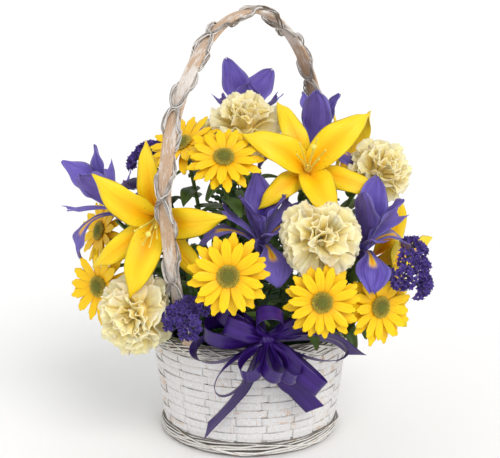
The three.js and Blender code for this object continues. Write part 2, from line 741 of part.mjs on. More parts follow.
// Fronds that share a stalk: the first goes on from it and the others leave it above the foam.
function fernSpray({ fronds, half = 34, pairs = 6 }, grow) {
  let stalk = null;
  return fuse(fronds.flatMap(([way, reach], k) => {
    const level = v3(way[0], way[1], 0).normalize();
    const side = v3(-level.y, level.x, 0);
    const tip = v3(...way).normalize().multiplyScalar(reach).add(v3(0, 0, BASKET.height));
    const facing = level.clone().add(v3(0, 0, -0.5));
    const line = stemLine(tip.toArray(), facing.toArray(), 40);
    const fork = stalk?.getPointAt(0.22);
    if (fork) line.splice(0, 2, fork, fork.clone().lerp(line[2], 0.5));
    const curve = new THREE.CatmullRomCurve3(line);
    stalk ??= curve;
    const from = k === 0 ? 0.34 : 0.24;
    const foot = [0, 0.35, 0.7, 1].map((t) => curve.getPointAt(t * (from + 0.03)));
    return [frond(curve, side, { from, pairs, half }, grow), rod(foot, 2 + grow, 3, 2)];
  }));
}

// ---- the ribbon bow ----

const KNOT = v3(15, -119, 129);
const KNOT_RADIUS = 9;
// Each loop: the way it points, the way its width lies, its length and its half height.
const LOOPS = [
  [[-0.98, 0.1, 0.14], [-0.15, -0.38, 0.91], 57, 10.5],
  [[-0.94, 0.26, -0.27], [0.1, -0.88, 0.46], 72, 10],
  [[-0.68, -0.26, -0.7], [0.15, -0.94, 0.27], 66, 8.5],
  [[-0.9, -0.26, 0.42], [0.37, 0.21, 0.91], 41, 9],
  [[-0.46, -0.66, -0.6], [-0.2, -0.66, 0.72], 42, 8],
  [[0.92, 0.26, 0.32], [-0.2, 0.12, 0.95], 60, 6],
  [[0.98, -0.04, -0.16], [-0.1, -0.9, 0.42], 73, 8.5],
  [[0.74, -0.28, -0.62], [0.8, 0.04, 0.61], 66, 9.5],
  [[0.22, -0.78, -0.6], [0.35, -0.66, 0.67], 42, 8],
  [[0.1, -0.5, 0.86], [0, 0.86, 0.5], 35, 9.5],
];
// Each tail: points of its middle line after the knot, and the way its width lies.
const TAILS = [
  [[[-1, -112, 87], [-14, -106, 65], [-27, -101, 48], [-41, -94, 30]], [0.35, -0.83, 0.4]],
  [[[31, -108, 88], [43, -102, 74], [61, -89, 50]], [0.73, 0.06, 0.69]],
  [[[45, -104, 127], [77, -90, 120], [101, -78, 100]], [0.2, -0.67, 0.67]],
];
// The ribbon's half width at a distance from the knot, which gathers it.
const gathered = (far) => mix(2, RIBBON.width / 2, smooth(7, 30, far));

function bowRibbon(grow) {
  const steps = 5;
  const thick = RIBBON.thick / 2 + grow;
  const widthAlong = (line) => (i) => gathered(line[i].distanceTo(KNOT)) + grow;
  const parts = [ball(new THREE.Matrix4(), KNOT.toArray(), KNOT_RADIUS + grow, KNOT_RADIUS + grow, 6, 4)];
  for (const [way, across, length, height] of LOOPS) {
    const along = v3(...way).normalize();
    const wide = v3(...across).addScaledVector(along, -along.dot(v3(...across))).normalize();
    const up = v3().crossVectors(along, wide);
    const line = Array.from({ length: steps + 1 }, (_, i) => {
      const t = mix(0.06, 0.94, i / steps) * 2 * Math.PI;
      const out = (1 - Math.cos(t)) / 2;
      return KNOT.clone().addScaledVector(along, mix(5, length, out))
        .addScaledVector(up, height * 1.6 * Math.sin(t) * out ** 0.5);
    });
    parts.push(strip(line, line.map(() => wide), widthAlong(line), thick));
  }
  for (const [points, way] of TAILS) {
    const line = new THREE.CatmullRomCurve3([KNOT.clone(), ...points.map((p) => v3(...p))]).getPoints(5);
    parts.push(strip(line, line.map(() => v3(...way)), widthAlong(line), thick));
  }
  return fuse(parts);
}

// The wired pick that holds the bow, pushed into the foam over the rim.
const bowPick = (grow) => rod(
  [v3(15, -110, 128), v3(12, -84, 118), v3(6, -48, 104)], 1.6 + grow, 5, 4,
);

// ---- where everything stands ----

const LILIES = [
  { name: 'lily_left', at: [-85, -64, 229], facing: [-0.12, -0.97, -0.08], seed: 1,
    turns: [10, 96, 136, 217, 252, 311], leafWay: [-0.2, -0.3, 1], leafLength: 60 },
  { name: 'lily_top', at: [54, -34, 266], facing: [0.04, -0.84, 0.5], seed: 2,
    turns: [39, 111, 158, 219, 286, 337], shares: [1, 0.93, 0.92, 0.76, 0.95, 1],
    leafWay: [-1, -0.2, 0.5], leafLength: 60 },
  { name: 'lily_right', at: [114, -8, 172], facing: [0.9, -0.4, -0.05], seed: 3, open: 0.8, size: 0.9,
    turns: [20, 82, 140, 200, 262, 322], leafWay: [0.6, -0.9, 0.4], leafLength: 52 },
  { name: 'lily_back', at: [88, 46, 246], facing: [0.62, 0.35, 0.7], seed: 4, open: 0.55, size: 0.9,
    turns: [5, 66, 128, 184, 247, 304], leafWay: [-0.5, 1, 0.5], leafLength: 56 },
];
const IRISES = [
  { name: 'iris_left', at: [-126, -18, 224], facing: [-0.5, -0.25, 0.8], roll: 2.6, seed: 11 },
  { name: 'iris_top', at: [-4, 76, 289], facing: [-0.02, 0.2, 1], roll: 0.6, open: 1.3, seed: 12 },
  { name: 'iris_back', at: [62, 20, 270], facing: [0.12, 0.1, 1], roll: 1.2, seed: 13 },
  { name: 'iris_front', at: [10, -58, 202], facing: [0.02, -0.3, 0.95], roll: 0.7, seed: 14 },
  { name: 'iris_right', at: [104, -62, 198], facing: [0.2, -0.3, 0.92], roll: 2.2, seed: 15 },
];
// The heads of each spray, on one branched stalk.
const DAISIES = {
  daisy_spray_front: [{ name: 'daisy_front', at: [-19, -134, 192], facing: [0, -1, 0.16], seed: 21 }],
  daisy_spray_right: [
    { name: 'daisy_low', at: [64, -126, 166], facing: [0.05, -1, 0.1], seed: 22, size: 0.94 },
    { name: 'daisy_right', at: [118, -98, 153], facing: [0.5, -0.86, 0.12], seed: 23, size: 0.98 },
  ],
  daisy_spray_top: [
    { name: 'daisy_top', at: [-24, -62, 284], facing: [0.05, -0.7, 0.7], seed: 24, size: 0.96 },
    { name: 'daisy_high', at: [-64, -22, 290], facing: [-0.4, -0.45, 0.8], seed: 25, size: 1 },
  ],
  daisy_spray_left: [
    { name: 'daisy_left', at: [-144, -40, 156], facing: [-0.6, -0.8, 0.1], seed: 26, size: 1 },
    { name: 'daisy_side', at: [-148, 12, 198], facing: [-0.8, -0.5, 0.3], seed: 27, size: 0.94 },
  ],
};
const CARNATIONS = [
  { name: 'carnation_top', at: [-5, 4, 298], facing: [0, -0.5, 0.88], seed: 31, size: 0.98 },
  { name: 'carnation_front', at: [62, -106, 218], facing: [0.15, -0.95, 0.25], seed: 32, size: 0.95 },
  { name: 'carnation_left', at: [-102, -86, 145], facing: [-0.5, -0.85, -0.05], seed: 33, size: 0.98 },
  { name: 'carnation_right', at: [118, -30, 262], facing: [0.66, -0.45, 0.6], seed: 34, size: 0.84 },
];
const STATICE = [
  { name: 'statice_right', at: [146, -76, 182], facing: [0.7, -0.5, 0.35], seed: 41, size: 1.1 },
  { name: 'statice_left', at: [-50, -108, 144], facing: [-0.3, -0.75, 0.55], seed: 42, size: 0.8 },
  { name: 'statice_top', at: [-96, 20, 266], facing: [-0.5, 0.1, 0.85], seed: 43, size: 0.8 },
];
// The way each frond points, and how far it reaches from above the foam's middle.
const FERNS = [
  { name: 'fern_front', fronds: [[[-0.5, -1, 0.34], 124]], half: 22 },
  { name: 'fern_right', fronds: [[[1, 0.16, 0.08], 142], [[0.95, 0.5, 0.34], 138]] },
  { name: 'fern_left', fronds: [[[-1, 0.2, 0.14], 146], [[-0.9, 0.4, 0.8], 146]] },
  { name: 'fern_back_left', fronds: [[[-0.4, 1, 0.12], 134], [[-0.95, 0.75, 0.22], 138]] },
  { name: 'fern_back_right', fronds: [[[0.24, 1, 0.06], 130], [[0.42, 0.8, 0.8], 130]] },
  { name: 'fern_back', fronds: [[[-0.06, 1, 0.46], 136], [[-0.16, 0.8, 1.3], 150]] },
];

// ---- assembly ----

// Pieces in the order in which they keep their shape: each later one is cut clear of those before it.
const pieces = [
  ['handle_hoop', 'wood', handleHoop],
  ['handle_lacing', 'cord', handleLacing],
  ['bow_pick', 'pick', bowPick],
  ...LILIES.map((f) => [`${f.name}_stem`, 'stemGreen', (g) => lilyStem(f, g)]),
  ...IRISES.map((f) => [`${f.name}_stem`, 'stemGreen', (g) => irisStem(f, g)]),
  ...CARNATIONS.map((f) => [`${f.name}_stem`, 'stemGreen', (g) => carnationStem(f, g)]),
  ...Object.entries(DAISIES).map(([name, heads]) => [name, 'stemGreen', (g) => daisySpray(heads, g)]),
  ['rim_border', 'whitewash', rimBorder],
  ['foot_border', 'whitewash', footBorder],
  ['basket_base', 'whitewash', basketBase],
  ['basket_wall', 'whitewash', basketWall],
  ['liner', 'plastic', liner],
  ['bow_ribbon', 'ribbonPurple', bowRibbon],
  ...Object.values(DAISIES).flat().map((f) => [`${f.name}_rays`, 'daisyYellow', (g) => daisyRays(f, g)]),
  ...LILIES.map((f) => [`${f.name}_stamens`, 'lilyStamen', (g) => lilyStamens(f, g)]),
  ...STATICE.map((f) => [f.name, 'staticePurple', (g) => statice(f, g)]),
  ...IRISES.map((f) => [`${f.name}_petals`, 'irisViolet', (g) => irisPetals(f, g)]),
  ...CARNATIONS.map((f) => [`${f.name}_petals`, 'carnationCream', (g) => carnationHead(f, g)]),
  ...LILIES.map((f) => [`${f.name}_tepals`, 'lilyYellow', (g) => lilyTepals(f, g)]),
  ...FERNS.map((f) => [f.name, 'leafGreen', (g) => fernSpray(f, g)]),
  ['floral_foam', 'foam', foam],
];

const apart = (a, b) => [0, 1, 2].some((i) => a.min[i] > b.max[i] || b.min[i] > a.max[i]);

const arrangement = new THREE.Group();
arrangement.name = 'flower_basket_arrangement';
const placed = [];
for (const [name, look, make] of pieces) {
  let solid = make(0);
  for (const earlier of placed) {
    if (!apart(solid.boundingBox(), earlier.box)) solid = solid.subtract(earlier.room);
  }
  // A scrap that a cut leaves loose is dropped.
  const bodies = solid.simplify(0.03).decompose();
  solid = bodies.reduce((best, body) => (body.volume() > best.volume() ? body : best));
  const room = make(GAP);
  placed.push({ room, box: room.boundingBox() });
  const [color, roughness] = LOOKS[look];
  const mesh = new THREE.Mesh(geometryOf(solid), new THREE.MeshStandardMaterial({ color, roughness }));
  mesh.name = name;
  arrangement.add(mesh);
}

export default arrangement;
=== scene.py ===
import bpy
import math
import numpy as np
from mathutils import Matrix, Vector


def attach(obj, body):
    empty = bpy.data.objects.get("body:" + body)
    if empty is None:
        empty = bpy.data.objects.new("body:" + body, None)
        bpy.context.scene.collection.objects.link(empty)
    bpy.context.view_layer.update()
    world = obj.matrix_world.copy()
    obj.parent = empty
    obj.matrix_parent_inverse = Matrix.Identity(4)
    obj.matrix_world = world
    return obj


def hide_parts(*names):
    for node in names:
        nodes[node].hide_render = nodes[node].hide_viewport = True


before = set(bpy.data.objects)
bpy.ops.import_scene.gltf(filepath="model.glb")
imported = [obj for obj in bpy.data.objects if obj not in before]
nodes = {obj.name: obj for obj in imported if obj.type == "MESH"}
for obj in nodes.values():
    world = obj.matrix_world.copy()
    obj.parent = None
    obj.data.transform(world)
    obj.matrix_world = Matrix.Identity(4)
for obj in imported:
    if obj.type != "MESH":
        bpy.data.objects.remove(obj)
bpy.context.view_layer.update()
print("frame loaded")

mm = 0.001
rad = math.radians
fullTurn = 2 * math.pi
clear = 0.35  # the gap between neighbouring pieces
goldenTurn = 2.39996  # from one floret to the next, in radians
leafTurn = 137  # from one leaf of a stem to the next, in degrees


# numbers and lines

def mix(a, b, t):
    return a + (b - a) * t


def smooth(a, b, x):
    # 3t^2 - 2t^3 with t from 0 at a to 1 at b
    t = np.clip((np.asarray(x, float) - a) / (b - a), 0, 1)
    return t * t * (3 - 2 * t)


def wobble(seed, k, size):
    # size * (2 frac(43758.5453 sin(127.1 seed + 311.7 k)) - 1): the same small change on each run
    x = np.sin(seed * 127.1 + k * 311.7) * 43758.5453
    return (2 * (x - np.floor(x)) - 1) * size


def shade(seed, k):
    # 0 to 1, how much one petal or rod differs in colour
    return 0.5 + wobble(seed, k, 0.5)


def ripple(x, seed, waves=4):
    # sum of sin(n x + p_n) / n: a smooth wandering line, closed over 2 pi
    return sum(np.sin(n * x + 7.3 * wobble(seed, n, 1)) / n for n in range(1, waves + 1)) / 1.6


def unit(v):
    return v / np.maximum(np.linalg.norm(v, axis=-1, keepdims=True), 1e-9)


def toward(way):
    return unit(np.array(way, float))


def circle(n):
    return np.linspace(0, fullTurn, n, endpoint=False)


def thereAndBack(n):
    # 1 to 0 and back to 1 round n points, so that uv on a closed ring has no jump
    return np.abs(np.linspace(-1, 1, n, endpoint=False))


def stacked(*values):
    # the arrays, spread to one shape, side by side on a new last axis
    return np.stack(np.broadcast_arrays(*values), -1)


def polar(r, turn, z):
    return stacked(r * np.cos(turn), r * np.sin(turn), z)


def throughPoints(points, n):
    # Catmull-Rom: 2 p(t) = 2 p1 + (p2 - p0) t + (2 p0 - 5 p1 + 4 p2 - p3) t^2 + (3 p1 - p0 - 3 p2 + p3) t^3
    p = np.asarray(points, float)
    q = np.concatenate([[2 * p[0] - p[1]], p, [2 * p[-1] - p[-2]]])
    x = np.linspace(0, len(p) - 1 - 1e-9, n)
    i = x.astype(int)
    t = (x - i)[:, None]
    a, b, c, d = q[i], q[i + 1], q[i + 2], q[i + 3]
    return (2 * b + (c - a) * t + (2 * a - 5 * b + 4 * c - d) * t**2 + (3 * b - a - 3 * c + d) * t**3) / 2


def lengthsAlong(line):
    return np.concatenate([[0], np.cumsum(np.linalg.norm(np.diff(line, axis=0), axis=1))])


def evenly(line, n, trim=0):
    # n points at equal lengths along the line, less a trim at both ends
    far = lengthsAlong(line)
    at = np.linspace(trim, far[-1] - trim, n)
    return np.stack([np.interp(at, far, line[:, k]) for k in range(3)], -1)


def aheadOf(line):
    return unit(np.gradient(line, axis=0))


def squareTo(ahead, side):
    # side less its share along ahead, made one long
    return unit(side - ahead * np.sum(side * ahead, -1, keepdims=True))


def frameAt(at, facing, roll=0.0):
    # z = facing, x level = Z x z, y = z x x, then x and y turned by roll about z
    z = toward(facing)
    x = np.array([1.0, 0, 0]) if z[2] > 0.999 else unit(np.cross([0, 0, 1.0], z))
    y = np.cross(z, x)
    c, s = math.cos(roll), math.sin(roll)
    return np.array(at, float), np.stack([c * x + s * y, c * y - s * x, z], 1)


def placed(local, where):
    return where[0] + local @ where[1].T


# surfaces: each is a dict of points, quads, tris, uv and trait

def traitOf(shape, r=0.0, g=0.0, b=0.0):
    return np.stack([np.broadcast_to(value, shape) for value in (r, g, b, 1.0)], -1)


def closed(points, quads, tris, uv, trait):
    # turns the faces round if the volume, sum of a . (b x c) / 6 over the triangles, is negative
    points = points.reshape(-1, 3)
    corners = np.concatenate([quads[:, [0, 1, 2]], quads[:, [0, 2, 3]], tris])
    a, b, c = (points[corners[:, k]] for k in range(3))
    if np.einsum("ij,ij->", a, np.cross(b, c)) < 0:
        quads, tris = quads[:, ::-1], tris[:, ::-1]
    return {"points": points, "quads": quads, "tris": tris, "uv": uv.reshape(-1, 2), "trait": trait.reshape(-1, 4)}


def tube(rings, u, v, flat=False, **trait):
    # surface through rings[i, k], closed round k; the middle of the first and last ring closes an end,
    # and on a flat one quads between point k and point m - k
    n, m = rings.shape[:2]
    uv = np.stack([np.broadcast_to(value, (n, m)) for value in (u, v)], -1)
    trait = traitOf((n, m), **trait)
    i, k = np.meshgrid(np.arange(n - 1), np.arange(m), indexing="ij")
    a, b = i * m + k, i * m + (k + 1) % m
    quads = stacked(a, b, b + m, a + m).reshape(-1, 4)
    end = (n - 1) * m
    if flat:
        k = np.arange(1, m // 2 - 1)
        over = stacked(k, k + 1, m - k - 1, m - k)
        ends = np.array([[0, 1, m - 1], [m // 2 - 1, m // 2, m // 2 + 1]])
        return closed(rings, np.concatenate([quads, over[:, ::-1], over + end]),
                      np.concatenate([ends[:, ::-1], ends + end]), uv, trait)
    k = np.arange(m)
    after = (k + 1) % m
    tris = np.concatenate([stacked(n * m, after, k), stacked(n * m + 1, end + k, end + after)])
    points, uv, trait = (np.concatenate([values.reshape(n * m, -1), values[:1].mean(1), values[-1:].mean(1)])
                         for values in (rings, uv, trait))
    return closed(points, quads, tris, uv, trait)


def hoopSurface(rings, u, v, **trait):
    # the same, closed round i as well, with no ends
    n, m = rings.shape[:2]
    i, k = np.meshgrid(np.arange(n), np.arange(m), indexing="ij")
    nextRing, after = (i + 1) % n, (k + 1) % m
    quads = stacked(i * m + k, nextRing * m + k, nextRing * m + after, i * m + after).reshape(-1, 4)
    uv = np.stack([np.broadcast_to(value, (n, m)) for value in (u, v)], -1)
    return closed(rings, quads, np.zeros((0, 3), int), uv, traitOf((n, m), **trait))


def joined(parts):
    start = np.cumsum([0] + [len(p["points"]) for p in parts])
    whole = {key: np.concatenate([p[key] for p in parts]) for key in ("points", "uv", "trait")}
    for key in ("quads", "tris"):
        whole[key] = np.concatenate([p[key] + first for p, first in zip(parts, start)])
    return whole


def repeated(part, origins, turns, sizes, traits):
    # copy j: origin_j + size_j * turn_j . point, with its own trait
    n, v = len(origins), len(part["points"])
    points = origins[:, None] + np.einsum("nij,vj->nvi", turns, part["points"]) * sizes[:, None, None]
    shift = (np.arange(n) * v)[:, None, None]
    return {"points": points.reshape(-1, 3), "quads": (part["quads"] + shift).reshape(-1, 4),
            "tris": (part["tris"] + shift).reshape(-1, 3), "uv": np.tile(part["uv"], (n, 1)),
            "trait": np.repeat(traits, v, 0)}


def piece(name, parts, material, node):
    # puts the joined surfaces, in millimetres, into one object that rides on the basket
    part = joined(parts)
    quads, tris = part["quads"], part["tris"]
    corners = np.concatenate([quads.ravel(), tris.ravel()]).astype(np.int32)
    totals = np.concatenate([np.full(len(quads), 4), np.full(len(tris), 3)]).astype(np.int32)
    starts = np.concatenate([[0], np.cumsum(totals)[:-1]]).astype(np.int32)
    mesh = bpy.data.meshes.new(name)
    mesh.vertices.add(len(part["points"]))
    mesh.vertices.foreach_set("co", (part["points"] * mm).ravel())
    mesh.loops.add(len(corners))
    mesh.loops.foreach_set("vertex_index", corners)
    mesh.polygons.add(len(totals))
    mesh.polygons.foreach_set("loop_start", starts)
    mesh.polygons.foreach_set("loop_total", totals)
    mesh.polygons.foreach_set("use_smooth", np.ones(len(totals), bool))
    mesh.uv_layers.new(name="lie").data.foreach_set("uv", part["uv"][corners].ravel())
    mesh.attributes.new("trait", "FLOAT_COLOR", "POINT").data.foreach_set("color", part["trait"].ravel())
    mesh.update()
    mesh.validate()
    obj = bpy.data.objects.new(name, mesh)
    bpy.context.scene.collection.objects.link(obj)
    mesh.materials.append(material)
    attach(obj, "root")
    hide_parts(node)
    return obj


def around(line, ahead, side, radius, sides):
    # point(i, k) = line_i + radius_i (side_i cos k + up_i sin k)
    side = squareTo(ahead, side)
    up = np.cross(ahead, side)
    k = circle(sides)[:, None]
    return line[:, None] + radius[:, None, None] * (side[:, None] * np.cos(k) + up[:, None] * np.sin(k))


def rod(line, radius, sides=8, side=None, **trait):
    # rings around the line, with uv in tenths of a metre
    ahead = aheadOf(line)
    if side is None:
        side = np.cross(ahead, np.eye(3)[np.argmin(np.abs(ahead).max(0))])
    rings = around(line, ahead, side, np.broadcast_to(radius, (len(line),)), sides)
    return tube(rings, lengthsAlong(line)[:, None] / 100, thereAndBack(sides) * 0.04, **trait)


def blade(at, across, up, along, half, x, lift=0.0, thick=0.8, slide=0.0, g=0.0, b=0.0):
    # point(s, x) = at_s + across_s half_s x + up_s (lift +- thick (1 - x^4) / 2) + along_s slide
    n, m = len(at), len(x)

    def moved(way, by):
        return way[:, None] * np.broadcast_to(by, (n, m))[..., None]

    middle = at[:, None] + moved(across, half[:, None] * x) + moved(up, lift) + moved(along, slide)
    deep = moved(up, thick * (1 - x**4) / 2 + 0.02)
    rings = np.concatenate([middle + deep, (middle - deep)[:, -2:0:-1]], 1)
    u = np.concatenate([(x + 1) / 2, (x[-2:0:-1] + 1) / 2])
    under = np.arange(2 * m - 2) >= m
    return tube(rings, u, np.linspace(0, 1, n)[:, None], flat=True, r=under, g=g, b=b)


def petal(where, turn, line, half, x, twist=0.0, **shape):
    # a blade whose middle line is (r, z) at this turn round the axis, angle being measured from the axis,
    # and whose width is turned by twist round that line
    r, z, angle = line
    out = np.array([math.cos(turn), math.sin(turn), 0])
    axis = np.array([0, 0, 1.0])
    at = placed(r[:, None] * out + z[:, None] * axis, where)
    sin, cos = np.sin(angle)[:, None], np.cos(angle)[:, None]
    up = (sin * axis - cos * out) @ where[1].T
    along = (sin * out + cos * axis) @ where[1].T
    across = np.tile(np.array([-math.sin(turn), math.cos(turn), 0]) @ where[1].T, (len(r), 1))
    twist = np.broadcast_to(twist, (len(r),))[:, None]
    across, up = across * np.cos(twist) + up * np.sin(twist), up * np.cos(twist) - across * np.sin(twist)
    return blade(at, across, up, along, half, x, **shape)


def bent(s, length, start, end, power, root, base):
    # angle(s) = start + (end - start) s^power; r = root + L int sin, z = base + L int cos
    steps = 240
    t = np.linspace(0, 1, steps + 1)
    a = mix(start, end, t**power)

    def run(f):
        return length * np.concatenate([[0], np.cumsum((f[1:] + f[:-1]) / 2)]) / steps

    r, z = root + run(np.sin(a)), base + run(np.cos(a))
    return np.interp(s, t, r), np.interp(s, t, z), mix(start, end, s**power)


def spindle(where, centre, radius, tall, rings=12, sides=14, power=1.0, **trait):
    # r(t) = radius sin(t)^power, z = tall cos(t): a ball stretched along the axis
    cap = 0.12
    t = np.linspace(cap, math.pi - cap, rings)[:, None]
    local = polar(radius * np.sin(t) ** power, circle(sides), tall * np.cos(t)) + centre
    return tube(placed(local, where), thereAndBack(sides), np.linspace(1, 0, rings)[:, None], **trait)


def ruffle(s, x, high, waves, apart, phase, start, end):
    # high sin(waves s + apart sign(x) + phase) |x|^3, growing from start to end of the petal
    wave = np.sin(waves * s[:, None] + apart * np.sign(x) + phase)
    return high * wave * np.abs(x) ** 3 * smooth(start, end, s)[:, None]


def crease(s, x, high, waves, lean, phase, start, end):
    # high sin(waves x + lean s + phase) (1 - x^2), growing from start to end of the petal
    return high * np.sin(waves * x + lean * s[:, None] + phase) * smooth(start, end, s)[:, None] * (1 - x**2)


def pressed(parts, presses):
    # past the plane through q a point moves back to it: p - give way max((p - q) . way, 0) e^-(across / reach)^2
    give = 0.88
    for q, way, reach in presses:
        way = toward(way)
        for part in parts:
            off = part["points"] - np.array(q, float)
            past = off @ way
            across = np.sum(off**2, -1) - past**2
            back = give * np.maximum(past, 0) * np.exp(-across / reach**2)
            part["points"] = part["points"] - way * back[:, None]
    return parts


# finishes: the pieces carry uv "lie" and colours "trait", and each material draws from these

def rgb(r, g, b):
    # 0 to 255 as on a screen, to the linear value that a shader takes
    c = np.array([r, g, b]) / 255
    return (*np.where(c <= 0.04045, c / 12.92, ((c + 0.055) / 1.055) ** 2.4), 1.0)


def addNode(tree, kind, where=(), **settings):
    # where gives each input its value, or the socket that it is linked to
    node = tree.nodes.new(kind)
    for key, value in settings.items():
        setattr(node, key, value)
    for key, value in dict(where).items():
        if isinstance(value, bpy.types.NodeSocket):
            tree.links.new(value, node.inputs[key])
        else:
            node.inputs[key].default_value = value
    return node


def treeOf(*values):
    # the node tree of the first socket among the values
    return next(value.id_data for value in values if isinstance(value, bpy.types.NodeSocket))


def combined(operation, a, b=0.0):
    return addNode(treeOf(a, b), "ShaderNodeMath", {0: a, 1: b}, operation=operation).outputs[0]


def times(a, *others):
    for b in others:
        a = combined("MULTIPLY", a, b)
    return a


def plus(a, b):
    return combined("ADD", a, b)


def minus(a, b):
    return combined("SUBTRACT", a, b)


def fromMiddle(u):
    # 0 on the midrib and 0.5 on the edges
    return combined("ABSOLUTE", minus(u, 0.5))


def span(value, low, high, toLow=0.0, toHigh=1.0):
    # value from low to high becomes toLow to toHigh, eased
    where = {"Value": value, "From Min": low, "From Max": high, "To Min": toLow, "To Max": toHigh}
    return addNode(treeOf(value), "ShaderNodeMapRange", where, interpolation_type="SMOOTHSTEP").outputs["Result"]


def fade(value, low, high):
    return span(value, low, high, 1.0, 0.0)


def blended(share, a, b, kind="MIX"):
    where = {0: share, 6: a, 7: b}
    return addNode(treeOf(share, a, b), "ShaderNodeMix", where, data_type="RGBA", blend_type=kind).outputs[2]


def painted(colour, *coats):
    # each coat is a share and the colour that it lays over what is there
    for share, over in coats:
        colour = blended(share, colour, rgb(*over))
    return colour


def stretched(vector, scale, move=(0, 0, 0)):
    where = {"Vector": vector, "Scale": scale, "Location": move}
    return addNode(treeOf(vector), "ShaderNodeMapping", where).outputs[0]


def noise(vector, scale, detail=3.0, roughness=0.5, stretch=(1, 1, 1), move=(0, 0, 0)):
    where = {"Vector": stretched(vector, stretch, move), "Scale": scale, "Detail": detail, "Roughness": roughness}
    return addNode(treeOf(vector), "ShaderNodeTexNoise", where).outputs["Fac"]


def newGroup(name, inputs, outputs):
    # a shader node group with named sockets: kinds are Color, Float and Vector
    group = bpy.data.node_groups.new(name, "ShaderNodeTree")
    for label, kind, value in inputs:
        socket = group.interface.new_socket(name=label, in_out="INPUT", socket_type="NodeSocket" + kind)
        if value is not None:
            socket.default_value = value
    for label, kind in outputs:
        group.interface.new_socket(name=label, in_out="OUTPUT", socket_type="NodeSocket" + kind)
    return group, group.nodes.new("NodeGroupInput").outputs, group.nodes.new("NodeGroupOutput").inputs


def useGroup(group, where):
    return addNode(treeOf(*where.values()), "ShaderNodeGroup", where, node_tree=group).outputs


def newFinish(name, **fixed):
    # a material with its Principled BSDF and what the pieces carry: uv "lie", colours "trait"
    material = bpy.data.materials.new(name)
    material.use_nodes = True
    tree = material.node_tree
    shader = tree.nodes["Principled BSDF"]
    for key, value in fixed.items():
        shader.inputs[key.replace("_", " ")].default_value = value
    lie = addNode(tree, "ShaderNodeUVMap", uv_map="lie").outputs[0]
    flat = addNode(tree, "ShaderNodeSeparateXYZ", {0: lie}).outputs
    trait = addNode(tree, "ShaderNodeAttribute", attribute_name="trait").outputs["Color"]
    parts = addNode(tree, "ShaderNodeSeparateColor", {0: trait}).outputs
    return {"material": material, "shader": shader, "lie": lie, "u": flat[0], "v": flat[1], "r": parts[0],
            "g": parts[1], "b": parts[2], "place": addNode(tree, "ShaderNodeTexCoord").outputs["Object"]}


def finished(at, colour, roughness=None, height=None, strength=0.3, distance=0.0005):
    # links what was drawn to the shader, the height through a bump
    shader = at["shader"]
    links = shader.id_data.links
    links.new(colour, shader.inputs["Base Color"])
    if roughness is not None:
        links.new(roughness, shader.inputs["Roughness"])
    if height is not None:
        where = {"Height": height, "Strength": strength, "Distance": distance}
        links.new(addNode(shader.id_data, "ShaderNodeBump", where).outputs[0], shader.inputs["Normal"])
    return at["material"]


def makeVeinGroup():
    # fine veins that run along a petal or leaf and fan out, drawn from its own uv
    group, given, out = newGroup("petalVeins", [
        ("Lie", "Vector", None), ("Across", "Float", 16.0), ("Along", "Float", 1.4)],
        [("Mask", "Float"), ("Patches", "Float")])
    flat = addNode(group, "ShaderNodeSeparateXYZ", {0: given["Lie"]}).outputs
    wide, far = times(minus(flat[0], 0.5), given["Across"]), times(flat[1], given["Along"])
    lines = noise(addNode(group, "ShaderNodeCombineXYZ", {0: wide, 1: far}).outputs[0], 1.0, 4.0, 0.6)
    group.links.new(span(lines, 0.38, 0.66), out["Mask"])
    group.links.new(span(noise(given["Lie"], 3.0, 2.0), 0.35, 0.65), out["Patches"])
    return group


def makeWashGroup():
    # white lime wash brushed over wood: streaks along the grain, thin patches with the wood bare, and a dark brown laid
    # in as painted shade in the weave's hollows and along its edges, on the cords as a darker tone of some strands
    group, given, out = newGroup("limeWash", [
        ("Lie", "Vector", None), ("Wood", "Color", (0.5, 0.36, 0.25, 1)), ("Wash", "Color", (0.86, 0.85, 0.82, 1)),
        ("Cover", "Float", 0.7), ("Tint", "Float", 0.0), ("Depth", "Float", 0.0)],
        [("Colour", "Color"), ("Height", "Float"), ("Covered", "Float")])
    grain = noise(given["Lie"], 1.0, 5.0, 0.6, (26, 330, 1))
    streak = noise(given["Lie"], 1.0, 3.0, 0.55, (9, 60, 1), (3, 1, 0))
    patch = noise(given["Lie"], 1.0, 2.0, 0.5, (5, 12, 1), (7, 4, 0))
    low = minus(minus(0.98, given["Cover"]), times(given["Tint"], 0.2))
    covered = span(plus(times(streak, 0.5), times(patch, 0.5)), low, plus(low, 0.16))
    old = blended(1.0, given["Wood"], (0.62, 0.56, 0.5, 1), "MULTIPLY")
    wood = blended(span(grain, 0.35, 0.7), given["Wood"], old)
    wash = blended(span(grain, 0.42, 0.62, 0.0, 0.5), given["Wash"], wood)
    # this darkening to dark brown is painted shade in the weave and the borders, and a darker tone of some strands on
    # the cords
    dark = blended(combined("POWER", given["Depth"], 1.6), blended(covered, wood, wash), (0.05, 0.035, 0.025, 1))
    group.links.new(dark, out["Colour"])
    group.links.new(plus(times(grain, 0.6), times(streak, 0.5)), out["Height"])
    group.links.new(covered, out["Covered"])
    return group


veinGroup = makeVeinGroup()
washGroup = makeWashGroup()


def petalFinish(name, look):
    # colours from the base to the tip, deeper veins, patches, and petals that differ a little
    at = newFinish(name, Roughness=look["roughness"], Subsurface_Weight=look.get("glow", 0.12),
                   Subsurface_Scale=0.004, Sheen_Weight=look.get("sheen", 0.05), Sheen_Roughness=0.4,
                   Specular_IOR_Level=0.3)
    at["shader"].inputs["Subsurface Radius"].default_value = (1.0, 0.7, 0.3)
    veins = useGroup(veinGroup, {"Lie": at["lie"], "Across": look["across"], "Along": look["along"]})
    colour = blended(span(at["v"], 0.0, look["baseTo"]), rgb(*look["base"]), rgb(*look["middle"]))
    colour = painted(colour, (span(at["v"], look["tipFrom"], 1.0), look["tip"]),
                     (times(veins["Mask"], look["veins"]), look["vein"]),
                     (times(veins["Patches"], look["patches"]), look["patch"]),
                     (times(at["b"], look["vary"]), look["patch"]))
    return at, veins["Mask"], colour


